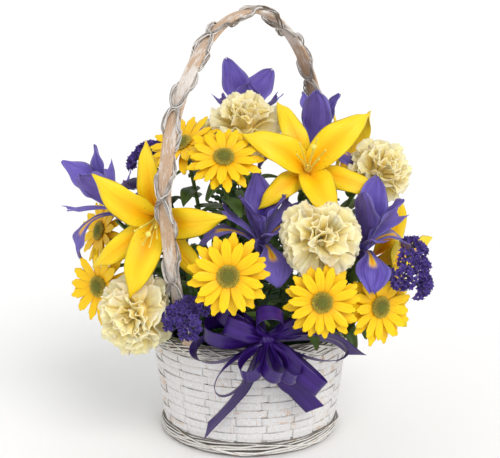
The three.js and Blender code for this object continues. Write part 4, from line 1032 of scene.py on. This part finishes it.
def irisPetals(f):
    # round the tube: three standards, and three falls between them, each under its style arm
    where, seed = frameAt(f["at"], f["facing"], f["roll"]), f["seed"]
    s, x = np.linspace(0.006, 0.994, 34), np.linspace(-1, 1, 17)
    parts = [spindle(where, [0, 0, 0], iris["tube"], iris["tubeTall"], 12, 14, b=0.2)]
    for k in range(3):
        parts += [standard(f, where, k, s, x), fall(seed, where, k, s, x), styleArm(seed, where, k, s, x)]
    return parts


def irisStem(f):
    # a stalk with a green sheath below the flower: two blades, half(s) = 5.2 sin(pi s^0.6)^0.8
    end = behind(f["at"], f["facing"], iris["tubeTall"] + clear)
    line = stemLine(end, f["facing"], iris["reach"])
    sheath, tall = frameAt(end, f["facing"]), iris["sheath"]
    parts = [rod(line, iris["stalk"], 10), spindle(sheath, [0, 0, -tall], 4.6, tall, 14, 12, 0.9, b=0.7)]
    s, x = np.linspace(0.01, 0.99, 18), np.linspace(-1, 1, 9)
    for k in range(2):
        parts.append(petal(sheath, 1.1 + math.pi * k, bent(s, 34, rad(2), rad(14), 1, 4.4, -28),
                           5.2 * np.sin(math.pi * s**0.6) ** 0.8 + 0.3, x, lift=2.6 * x**2, thick=0.6, g=1.0, b=0.8))
    return parts + leavesAlong(line, iris["leaves"], 17 * f["seed"])


for f in irises:
    name = f["name"]
    piece(name + "_bloom", pressed(irisPetals(f), f.get("press", [])), irisPetal, name + "_petals")
    piece(name + "_stalk", irisStem(f), stemGreen, name + "_stem")
print("irises opened")


# daisies: each layer of rays has its length, its height and its angles from the axis at the root and the tip
daisy = {"rays": 13, "layers": [(38, -1.6, 86, 99), (33, 0.2, 74, 90)], "root": 5, "half": 4.7, "eye": 9.4,
         "eyeTall": 4.0, "eyeUp": 2.4, "flat": 0.94, "florets": 210, "floret": (0.6, 1.9), "stalk": 1.9, "reach": 22,
         "bracts": 12, "bract": 9.5, "leaves": 9, "press": [([15, -98, 128], [0, -1, 0], 42)]}
daisies = {
    "daisy_spray_front": [{"name": "daisy_front", "at": [-19, -134, 192], "facing": [0, -1, 0.16], "seed": 21}],
    "daisy_spray_right": [
        {"name": "daisy_low", "at": [64, -126, 166], "facing": [0.05, -1, 0.1], "seed": 22, "size": 0.94},
        {"name": "daisy_right", "at": [118, -98, 153], "facing": [0.5, -0.86, 0.12], "seed": 23, "size": 0.98}],
    "daisy_spray_top": [
        {"name": "daisy_top", "at": [-24, -62, 284], "facing": [0.05, -0.7, 0.7], "seed": 24, "size": 0.96},
        {"name": "daisy_high", "at": [-64, -22, 290], "facing": [-0.4, -0.45, 0.8], "seed": 25}],
    "daisy_spray_left": [
        {"name": "daisy_left", "at": [-144, -40, 156], "facing": [-0.6, -0.8, 0.1], "seed": 26},
        {"name": "daisy_side", "at": [-148, 12, 198], "facing": [-0.8, -0.5, 0.3], "seed": 27, "size": 0.94}],
}


def daisyRays(f):
    # half(s) = half (0.5 to 1 by s = 0.5) less towards the blunt tip; lift = fold x^2 - furrow cos(3 pi x);
    # the tip's outline is moved along the ray by 0.55 cos(3 pi x) - 2 x^2
    where = frameAt(f["at"], f["facing"])
    size, seed = f.get("size", 1), f["seed"]
    s, x = np.linspace(0, 1, 20), np.linspace(-1, 1, 13)
    half = daisy["half"] * size * mix(0.5, 1, smooth(0, 0.5, s)) * (1 - 0.5 * smooth(0.76, 1, s) ** 1.4)
    slide = smooth(0.75, 1, s)[:, None] * (0.55 * np.cos(3 * math.pi * x) - 2.0 * x**2) * size
    parts = []
    for ring, (reach, base, start, end) in enumerate(daisy["layers"]):
        for k in range(daisy["rays"]):
            n = 50 * ring + k
            turn = fullTurn * (k + 0.5 * ring + wobble(seed, n + 3, 0.16)) / daisy["rays"]
            length = (reach + wobble(seed, n, 2.0)) * size - daisy["root"]
            line = bent(s, length, rad(start + wobble(seed, n + 200, 4)), rad(end + wobble(seed, n + 400, 9)), 1.3,
                        daisy["root"], base)
            fold = wobble(seed, n + 600, 1.0) + 0.2
            lift = fold * x**2 * smooth(0.1, 0.6, s)[:, None] - 0.28 * np.cos(3 * math.pi * x) * (1 - x**2)
            parts.append(petal(where, turn, line, half, x, lift=lift, thick=0.7, slide=slide, b=shade(seed, n + 800)))
    return parts


def domeUp(t):
    # tall sqrt(1 - flat t^2)
    return daisy["eyeTall"] * np.sqrt(1 - daisy["flat"] * t**2)


def onHead(lean, guide):
    # a frame for each floret, its z along lean
    x = unit(np.cross(np.array(guide), lean))
    return np.stack([x, np.cross(lean, x), lean], -1)


def daisyEye(f):
    # floret j of n stands at radius R sqrt(j / n), turn 2.4 j, on the dome z = up + tall sqrt(1 - 0.94 (r / R)^2)
    where = frameAt(f["at"], f["facing"])
    size, seed, n = f.get("size", 1), f["seed"], daisy["florets"]
    big = daisy["eye"] * size
    t = np.linspace(0.06, 1, 9)[:, None]
    dome = polar(big * 0.96 * t, circle(22), daisy["eyeUp"] - 1.6 + domeUp(t))
    high, wide = np.array([[0, 0.45, 0.85, 1.0], [0.8, 1.0, 0.85, 0.3]])[..., None]
    bud = tube(polar(wide * daisy["floret"][0], circle(6), daisy["floret"][1] * high), 0, high)
    j = np.arange(n)
    share, turn = np.sqrt((j + 0.5) / n), goldenTurn * j
    local = polar(big * share, turn, daisy["eyeUp"] - daisy["floret"][1] + domeUp(share))
    turns = np.einsum("ij,njk->nik", where[1], onHead(unit(polar(0.75 * share, turn, 1)), [0.2, 1, 0.1]))
    grow = size * mix(0.8, 1.22, smooth(0.5, 0.95, share)) * (1 + wobble(seed, j, 0.15))
    traits = traitOf((n,), r=share, b=shade(seed, j + 500))
    return [tube(placed(dome, where), 0, 0, r=t), repeated(bud, placed(local, where), turns, grow, traits)]


def daisyStalks(heads):
    # each head's stalk, the second one leaving the first part of the way up, with green bracts under the head,
    # half(s) = 1.7 sqrt(1 - s^2)
    first = stemLine(heads[0]["at"], heads[0]["facing"], daisy["reach"], 7)
    s, x = np.linspace(0, 0.98, 9), np.linspace(-1, 1, 5)
    parts = []
    for k, f in enumerate(heads):
        under = frameAt(f["at"], f["facing"])
        line = stemLine(f["at"], f["facing"], daisy["reach"], 7)
        if k > 0:
            line = np.concatenate([[first[1], mix(first[2], line[2], 0.3)], line[2:]])
        line = throughPoints(np.concatenate([line, placed(np.array([[0, 0, 2.0]]), under)]), 46)
        parts.append(rod(line, daisy["stalk"], 9, b=0.4))
        bract = bent(s, daisy["bract"] * f.get("size", 1), rad(62), rad(84), 1, 1.6, -5.6)
        half = 1.7 * np.sqrt(1 - s**2) + 0.1
        parts += [petal(under, fullTurn * n / daisy["bracts"], bract, half, x, thick=0.5, g=1.0, b=0.6)
                  for n in range(daisy["bracts"])]
        picks = [(0.28 + 0.055 * n, leafTurn * n, 40 - n, 9.5 - 0.2 * n, 62 + 3 * n) for n in range(daisy["leaves"])]
        parts += leavesAlong(line, picks, 13 * f["seed"])
    return parts


for spray, heads in daisies.items():
    piece(spray + "_stalks", pressed(daisyStalks(heads), daisy["press"]), stemGreen, spray)
    for f in heads:
        piece(f["name"] + "_head", daisyRays(f), daisyRay, f["name"] + "_rays")
        piece(f["name"] + "_eye", daisyEye(f), daisyEyeFinish, spray)
print("daisies opened")


# carnations: each layer of petals has its lean from the axis in degrees, its length, its count and its half width
carnation = {"core": 16, "coreUp": 4, "root": 1.2, "deep": 8.0, "calyx": 28, "calyxRadius": (4.0, 7.4), "teeth": 5,
             "stalk": 2.3, "reach": 28, "leaves": 10,
             "layers": [(112, 37, 7, 16), (94, 39, 8, 17), (76, 38.5, 8, 17), (58, 37, 7, 16), (40, 35, 6, 15),
                        (22, 33, 5, 14), (6, 31, 3, 12)]}
carnations = [
    {"name": "carnation_top", "at": [-5, 4, 298], "facing": [0, -0.5, 0.88], "seed": 31, "size": 0.98,
     "press": [([19, 13, 292], [0.87, 0.49, 0.05], 28)]},
    {"name": "carnation_front", "at": [62, -106, 218], "facing": [0.15, -0.95, 0.25], "seed": 32, "size": 0.95,
     "press": [([63, -119, 188], [0, -1, 0], 26), ([71, -86, 236], [0, 0.4, 0.9], 24)]},
    {"name": "carnation_left", "at": [-102, -86, 145], "facing": [-0.5, -0.85, -0.05], "seed": 33, "size": 0.98,
     "press": [([-107, -87, 168], [0, -0.85, 0.5], 24), ([-77, -98, 150], [1, 0, 0], 28)]},
    {"name": "carnation_right", "at": [120, -26, 263], "facing": [0.66, -0.45, 0.6], "seed": 37, "size": 0.82,
     "press": [([112, -47, 254], [0, -0.93, -0.3], 30), ([92, -22, 270], [-1, 0.1, 0], 30)]},
]


def carnationHead(f):
    # a petal's middle line is the curve (1-t)^2 a + 2 t (1-t) b + t^2 c in the plane of its turn, c on a sphere;
    # it fans out as 0.16 + 0.84 s^1.4, with waves sin(w x + p) s^2.2 and a rim cut by |sin(teeth x + p)|
    size, seed, up = f["size"], f["seed"], carnation["coreUp"]
    s, x = np.linspace(0, 1, 15), np.linspace(-1, 1, 25)
    t = s[:, None]
    core = carnation["core"] * size
    parts = [spindle(frameAt(f["at"], f["facing"]), [0, 0, up - 3], core * 0.62, core * 0.7, 8, 12)]
    for n, (lean, reach, count, half) in enumerate(carnation["layers"]):
        for k in range(count):
            w = 40 * n + k
            tilt = 0.2 * wobble(seed, w + np.array([2100, 2400, 2700]), 1)
            where = frameAt(f["at"], unit(np.array(f["facing"])) + tilt)
            a = rad(lean + wobble(seed, w, 12))
            turn = fullTurn * (k + 0.5 * (n % 2) + wobble(seed, w + 300, 0.28)) / count + 0.4 * n
            far = reach * size * (0.97 + wobble(seed, w + 600, 0.1))
            start = np.array([carnation["root"], -carnation["deep"] * size])
            end = np.array([far * math.sin(a), up + far * math.cos(a)])
            bend = np.array([0.3 * end[0] + 1, mix(-2, end[1], 0.62) + 2])
            line = (1 - t) ** 2 * start + 2 * t * (1 - t) * bend + t**2 * end
            slope = np.gradient(line, axis=0)
            wide = half * size * (0.16 + 0.84 * s**1.4) * (1 + wobble(seed, w + 900, 0.15))
            phase = 6.3 * wobble(seed, w + 1200, 1)
            waves = (3.8 * np.sin((4.2 + wobble(seed, w + 1500, 1.4)) * x + phase) + 1.7 * np.sin(9.5 * x + 2 * phase)
                     + 1.2 * np.sin(6 * t + 3 * x + phase))
            teeth = 1.3 * np.abs(np.sin(10.5 * x + phase)) + 1.6 * np.sin(4 * x + 3 * phase)
            parts.append(petal(where, turn, (line[:, 0], line[:, 1], np.arctan2(slope[:, 0], slope[:, 1])), wide, x,
                               lift=size * (waves * t**2.2 - 2.5 * x**2 * t), thick=mix(0.8, 0.35, t),
                               slide=size * (teeth - 5.0 * x**2) * t**3, b=shade(seed, w + 1800)))
    return parts


def carnationStalk(f):
    # the calyx: a ribbed cup, r(t) from one radius to the other by t = 0.8, with teeth that spread at its mouth
    end = behind(f["at"], f["facing"], (carnation["core"] - carnation["coreUp"]) * f["size"] + clear)
    where = frameAt(end, f["facing"])
    t, k = np.linspace(0, 1, 14)[:, None], circle(20)
    radius = mix(*carnation["calyxRadius"], smooth(0, 0.8, t)) * (1 + 0.03 * np.cos(10 * k))
    cup = placed(polar(radius, k, carnation["calyx"] * (t - 1)), where)
    parts = [tube(cup, thereAndBack(20) * 0.2, t * 0.3, b=0.8)]
    s, x = np.linspace(0, 0.97, 8), np.linspace(-1, 1, 5)
    tooth, half = bent(s, 12, rad(8), rad(40), 1, 7.0, -4), 4.2 * (1 - s**1.6) + 0.1
    parts += [petal(where, fullTurn * n / carnation["teeth"], tooth, half, x, lift=-0.8 * x**2, thick=0.6, g=1.0, b=0.8)
              for n in range(carnation["teeth"])]
    line = stemLine(behind(end, f["facing"], 6), f["facing"], carnation["reach"])
    parts.append(rod(line, carnation["stalk"], 10, b=0.9))
    # leaves in pairs, each pair square to the one below
    picks = [(0.26 + 0.1 * (n // 2), 90 * (n // 2) + 180 * (n % 2), 58 - 2 * n, 7.5, 44)
             for n in range(carnation["leaves"])]
    return parts + leavesAlong(line, picks, 19 * f["seed"])


for f in carnations:
    name = f["name"]
    piece(name + "_head", pressed(carnationHead(f), f["press"]), carnationPetal, name + "_petals")
    piece(name + "_stalk", carnationStalk(f), stemGreen, name + "_stem")
print("carnations opened")


# statice: funnel holds the height, the radius and the waviness of a calyx's rings
staticeShape = {"twigs": 5, "turn": 2.4, "calyces": 30, "tuft": [6.2, 6.2, 4.2], "waves": 5, "sides": 10, "stalk": 1.9,
                "twig": 1.0, "reach": 24,
                "funnel": [(0, 0.5, 0), (0.35, 0.9, 0), (0.75, 1.9, 0.1), (1.0, 3.1, 0.22), (0.92, 2.7, 0.2),
                           (0.6, 1.4, 0.1), (0.3, 0.5, 0)]}
statices = [
    {"name": "statice_right", "at": [146, -76, 182], "facing": [0.7, -0.5, 0.35], "seed": 41, "size": 1.1},
    {"name": "statice_left", "at": [-50, -108, 144], "facing": [-0.3, -0.75, 0.55], "seed": 42, "size": 0.8,
     "leaves": 0},
    {"name": "statice_top", "at": [-96, 20, 266], "facing": [-0.5, 0.1, 0.85], "seed": 43, "size": 0.8},
]


def papery():
    # one calyx: a funnel r(h) out to a rim waved five times, and back in to its throat
    k = circle(staticeShape["sides"])
    h, r, waved = np.array(staticeShape["funnel"]).T[..., None]
    wave = waved * np.cos(staticeShape["waves"] * k)
    return tube(polar(r * (1 + wave), k, 6.0 * h + 1.5 * wave), thereAndBack(len(k)), h)


def statice(f):
    # twig k ends at (spread cos 2.4k, spread sin 2.4k, 14 - spread / 4), spread = 12 size sqrt(k);
    # calyx j of a tuft stands at lean 1.35 sqrt((j + 0.4) / n), turn 2.4 j, on a flattened ball
    where = frameAt(f["at"], f["facing"])
    size, seed, n = f["size"], f["seed"], staticeShape["calyces"]
    line = stemLine(behind(f["at"], f["facing"], 6), f["facing"], staticeShape["reach"])
    leaves = [(0.3 + 0.12 * k, leafTurn * k, 46 - 4 * k, 8, 50) for k in range(f.get("leaves", 5))]
    parts = [rod(line, staticeShape["stalk"], 8, g=1.0, b=0.3)] + leavesAlong(line, leaves, 23 * seed)
    root, j = np.array([0, 0, -9.0]), np.arange(n)
    for k in range(staticeShape["twigs"]):
        spread = 12 * size * math.sqrt(k)
        tip = polar(spread, staticeShape["turn"] * k, 14 - 0.25 * spread)
        twig = placed(throughPoints([root, mix(root, tip, 0.5) + [0, 0, -1], tip - [0, 0, 4]], 12), where)
        parts.append(rod(twig, staticeShape["twig"], 7, g=1.0, b=0.3))
        axes = frameAt(tip, tip + [0, 0, 12])[1]
        lean = 1.35 * np.sqrt((j + 0.4) / n)
        way = polar(np.sin(lean), goldenTurn * j + k, np.cos(lean))
        out = way * staticeShape["tuft"] * (1 + wobble(seed, 30 * k + j + 900, 0.3))[:, None]
        local = tip + (out + [0, 0, -3.2]) @ axes.T * (0.9 + 0.15 * size)
        turns = np.einsum("ij,njk->nik", where[1] @ axes, onHead(way, [0.3, 1, 0.2]))
        grow = 0.95 * (1 + wobble(seed, 30 * k + j, 0.25)) * (0.85 + 0.15 * size)
        traits = traitOf((n,), b=shade(seed, 30 * k + j + 300))
        parts.append(repeated(papery(), placed(local, where), turns, grow, traits))
    return parts


for f in statices:
    piece(f["name"] + "_spray", statice(f), staticeFlower, f["name"])
print("statice set")


# ferns: each frond has the way it points and its reach; starts are where the leaflets of both begin
fern = {"half": 34, "pinnae": 15, "droop": 0.16, "stalk": (1.9, 0.5), "reach": 40, "cuts": 120, "starts": [0.34, 0.24],
        "fork": 0.22, "lobes": 7}
ferns = [
    {"name": "fern_front", "fronds": [([-0.5, -1, 0.34], 124)], "half": 22},
    {"name": "fern_right", "fronds": [([1, 0.16, 0.08], 142), ([0.95, 0.5, 0.34], 138)]},
    {"name": "fern_left", "fronds": [([-1, 0.2, 0.14], 146), ([-0.9, 0.4, 0.8], 146)]},
    {"name": "fern_back_left", "fronds": [([-0.4, 1, 0.12], 134), ([-0.95, 0.75, 0.22], 138)]},
    {"name": "fern_back_right", "fronds": [([0.24, 1, 0.06], 130), ([0.42, 0.8, 0.8], 130)]},
    {"name": "fern_back", "fronds": [([-0.06, 1, 0.46], 136), ([-0.16, 0.8, 1.3], 150)]},
]


def leaflet(start, out, up, face, guide, far, wide, tint):
    # half(s) = wide sin(pi (0.06 + 0.94 s)^0.55)^0.75 (1 + 0.34 cos(14 pi s)), its tip hanging by droop far s^1.8
    s, x = np.linspace(0.01, 0.99, 20)[:, None], np.linspace(-1, 1, 5)
    line = start + out * far * s - up * fern["droop"] * far * s**1.8
    lobes = 1 + 0.34 * np.cos(fullTurn * fern["lobes"] * s) * smooth(0, 0.1, s)
    half = wide * np.sin(math.pi * (0.06 + 0.94 * s) ** 0.55) ** 0.75 * lobes + 0.15
    tile = np.ones((len(s), 1))
    return blade(line, guide * tile, face * tile, aheadOf(line), half[:, 0], x, lift=-0.8 * x**2, thick=0.6,
                 slide=1.6 * np.abs(x), g=1.0, b=tint)


def fernSpray(f):
    # leaflet at share t: length half sin(pi t^0.8)^0.7 + 3, on both sides of the stalk
    half, last, pinnae = f.get("half", fern["half"]), fern["cuts"] - 1, fern["pinnae"]
    parts, stalk = [], None
    for n, (way, reach) in enumerate(f["fronds"]):
        level = unit(np.array([way[0], way[1], 0.0]))
        side = np.array([-level[1], level[0], 0])
        line = stemLine(toward(way) * reach + [0, 0, basket["height"]], level + [0, 0, -0.5], fern["reach"], 7)
        if n > 0:
            fork = stalk[int(fern["fork"] * last)]
            line = np.concatenate([[fork, mix(fork, line[2], 0.5)], line[2:]])
        stalk = evenly(throughPoints(line, 2 * fern["cuts"]), fern["cuts"])
        parts.append(rod(stalk, np.linspace(*fern["stalk"], fern["cuts"]), 8, b=0.5))
        ahead, start = aheadOf(stalk), fern["starts"][n]
        wide = 0.56 * lengthsAlong(stalk)[-1] * (1 - start) / pinnae
        for k in range(pinnae):
            share = (k + 0.3) / pinnae
            i = int(mix(start, 0.985, share) * last)
            far = half * np.sin(math.pi * share**0.8) ** 0.7 + 3
            if share < 0.12:
                far = max(far, 0.55 * half)
            up = np.cross(ahead[i], side)
            for hand in (-1, 1):
                seed = 100 * n + 2 * k + hand
                out = unit(side * hand + ahead[i] * 0.42 + up * wobble(61, seed, 0.08))
                guide = unit(np.cross(np.cross(out, side * hand + ahead[i] * 3), out))
                face = unit(np.cross(out, guide))
                face = face if np.dot(face, up) >= 0 else -face
                parts.append(leaflet(stalk[i], out, up, face, guide, far, wide, shade(67, seed)))
    return parts


for f in ferns:
    piece(f["name"] + "_fronds", fernSpray(f), fernGreen, f["name"])
print("ferns spread")


# the ribbon bow: knotTaken is the length of ribbon inside the knot
ribbon = {"width": 17, "thick": 0.45, "knot": [15, -119, 129], "knotRadius": 7.6, "knotTaken": 40, "slant": 4}
# each loop: the way it points, the way its width lies, its length and its half height
loops = [
    ([-0.98, 0.1, 0.14], [-0.15, -0.38, 0.91], 57, 10.5),
    ([-0.94, 0.26, -0.27], [0.1, -0.88, 0.46], 72, 10),
    ([-0.68, -0.26, -0.7], [0.15, -0.94, 0.27], 66, 8.5),
    ([-0.9, -0.26, 0.42], [0.37, 0.21, 0.91], 41, 9),
    ([-0.46, -0.66, -0.6], [-0.2, -0.66, 0.72], 42, 8),
    ([0.92, 0.26, 0.32], [-0.2, 0.12, 0.95], 60, 6),
    ([0.98, -0.04, -0.16], [-0.1, -0.9, 0.42], 73, 8.5),
    ([0.74, -0.28, -0.62], [0.8, 0.04, 0.61], 66, 9.5),
    ([0.22, -0.78, -0.6], [0.35, -0.66, 0.67], 42, 8),
    ([0.1, -0.5, 0.86], [0, 0.86, 0.5], 35, 9.5),
    ([-0.88, 0.2, 0.5], [0.4, 0, 0.87], 50, 6),
    ([-0.5, 0.25, 0.8], [0.1, -0.93, 0.32], 36, 6),
    ([0.55, -0.58, -0.6], [0.45, -0.61, 0.66], 47, 7.5),
]
# each tail: its middle line after the knot, and the way its width lies
tails = [
    ([[-1, -112, 87], [-14, -106, 65], [-27, -101, 48], [-41, -94, 30]], [0.5, -0.74, 0.4]),
    ([[31, -108, 88], [43, -102, 74], [61, -89, 50]], [0.73, 0.06, 0.69]),
    ([[45, -104, 127], [77, -90, 120], [101, -78, 100]], [0.2, -0.67, 0.67]),
]
knot = np.array(ribbon["knot"], float)


def ribbonStrip(line, wide, seed, slant=0.0):
    # point(i, x) = line_i + side_i half_i x + out_i (gathers sin(7 x) near the knot - 0.5 x^2 + a wandering tilt x)
    ahead = aheadOf(line)
    side = squareTo(ahead, wide)
    away = np.linalg.norm(line - knot, axis=1)
    half = mix(3.0, ribbon["width"] / 2, smooth(4, 24, away))
    near = smooth(34, 5, away)[:, None]
    x = np.linspace(-1, 1, 13)
    far = lengthsAlong(line)
    lift = near * 1.5 * np.sin(7 * x + seed) - 0.5 * x**2 + 0.5 * ripple(far / 14, seed, 3)[:, None] * x
    slide = slant * x * smooth(far[-1] - 26, far[-1], far)[:, None]
    part = blade(line, side, np.cross(side, ahead), ahead, half, x, lift, ribbon["thick"], slide, b=0.5)
    part["uv"][:, 1] *= far[-1] / 1000
    return part


def bowLoops():
    # loop(t) = knot + along mix(5, length, o) + up 1.6 height sin t sqrt(o), o = (1 - cos t) / 2
    t = np.linspace(0.05, 0.95, 72)[:, None] * fullTurn
    o = (1 - np.cos(t)) / 2
    parts = []
    for n, (way, across, length, height) in enumerate(loops):
        along = toward(way)
        wide = squareTo(along, np.array(across, float))
        up = np.cross(along, wide)
        line = knot + along * mix(5, length, o) + up * (height * 1.6 * np.sin(t) * np.sqrt(o))
        turn = 0.16 * np.sin(t) + 0.06 * wobble(71, n, 1)
        parts.append(ribbonStrip(evenly(line, len(t)), wide * np.cos(turn) + along * np.sin(turn), 700 + n))
    for n, (points, way) in enumerate(tails):
        line = evenly(throughPoints([knot, *points], 200), 60)
        parts.append(ribbonStrip(line, np.array(way, float), 720 + n, ribbon["slant"]))
    return parts


def bowKnot():
    # a flattened ball with pleats: r = radius (1 + 0.07 sin(9 k + 2.5 sin 2t))
    t, k = np.linspace(0.1, math.pi - 0.1, 26)[:, None], circle(40)
    r = ribbon["knotRadius"] * (1 + 0.07 * np.sin(9 * k + 2.5 * np.sin(2 * t)))
    return tube(polar(r * np.sin(t), k, r * np.cos(t) * 0.9) + knot, 0.5, t * 0.01, b=0.5)


bow = piece("satin_bow", bowLoops() + [bowKnot()], satinRibbon, "bow_ribbon")
print("bow tied")


# floor, light and camera, in metres
stage = {"floor": 14, "target": (0, 0, 0.203), "lit": (0, 0, 0.2), "camera": (0, -1.150, 0.4715), "lens": 86.5,
         "world": 0.78}


def makeStage():
    mesh = bpy.data.meshes.new("floor")
    mesh.from_pydata(polar(stage["floor"], circle(96), 0).tolist(), [], [list(range(96))])
    floor = bpy.data.objects.new("floor", mesh)
    bpy.context.scene.collection.objects.link(floor)
    at = newFinish("paleFloor", Roughness=0.85)
    patches = span(noise(at["place"], 3.0), 0.3, 0.7)
    mesh.materials.append(finished(at, blended(patches, (0.96, 0.96, 0.96, 1), (0.94, 0.94, 0.94, 1))))


def aim(place, target):
    return (Vector(target) - Vector(place)).to_track_quat("-Z", "Y").to_euler()


def addSun(name, place, power, softness, colour=(1, 1, 1)):
    data = bpy.data.lights.new(name, "SUN")
    data.energy, data.angle, data.color = power, rad(softness), colour
    lamp = bpy.data.objects.new(name, data)
    lamp.location = place
    lamp.rotation_euler = aim(place, stage["lit"])
    bpy.context.scene.collection.objects.link(lamp)


makeStage()
addSun("key", (0.6, -1.2, 1.35), 1.5, 34, (1.0, 0.985, 0.96))
addSun("fill", (-1.2, -1.2, 0.9), 0.2, 60)
world = bpy.data.worlds.new("studio")
world.use_nodes = True
sky = world.node_tree.nodes["Background"].inputs
sky[0].default_value, sky[1].default_value = (1, 1, 1, 1), stage["world"]
bpy.context.scene.world = world

photoCamera = bpy.data.cameras.new("photoCamera")
photoCamera.lens, photoCamera.sensor_width = stage["lens"], 36
cameraObject = bpy.data.objects.new("photoCamera", photoCamera)
cameraObject.location = stage["camera"]
cameraObject.rotation_euler = aim(stage["camera"], stage["target"])
bpy.context.scene.collection.objects.link(cameraObject)
bpy.context.scene.camera = cameraObject
bpy.context.scene.view_settings.view_transform = "Standard"
print("stage set")
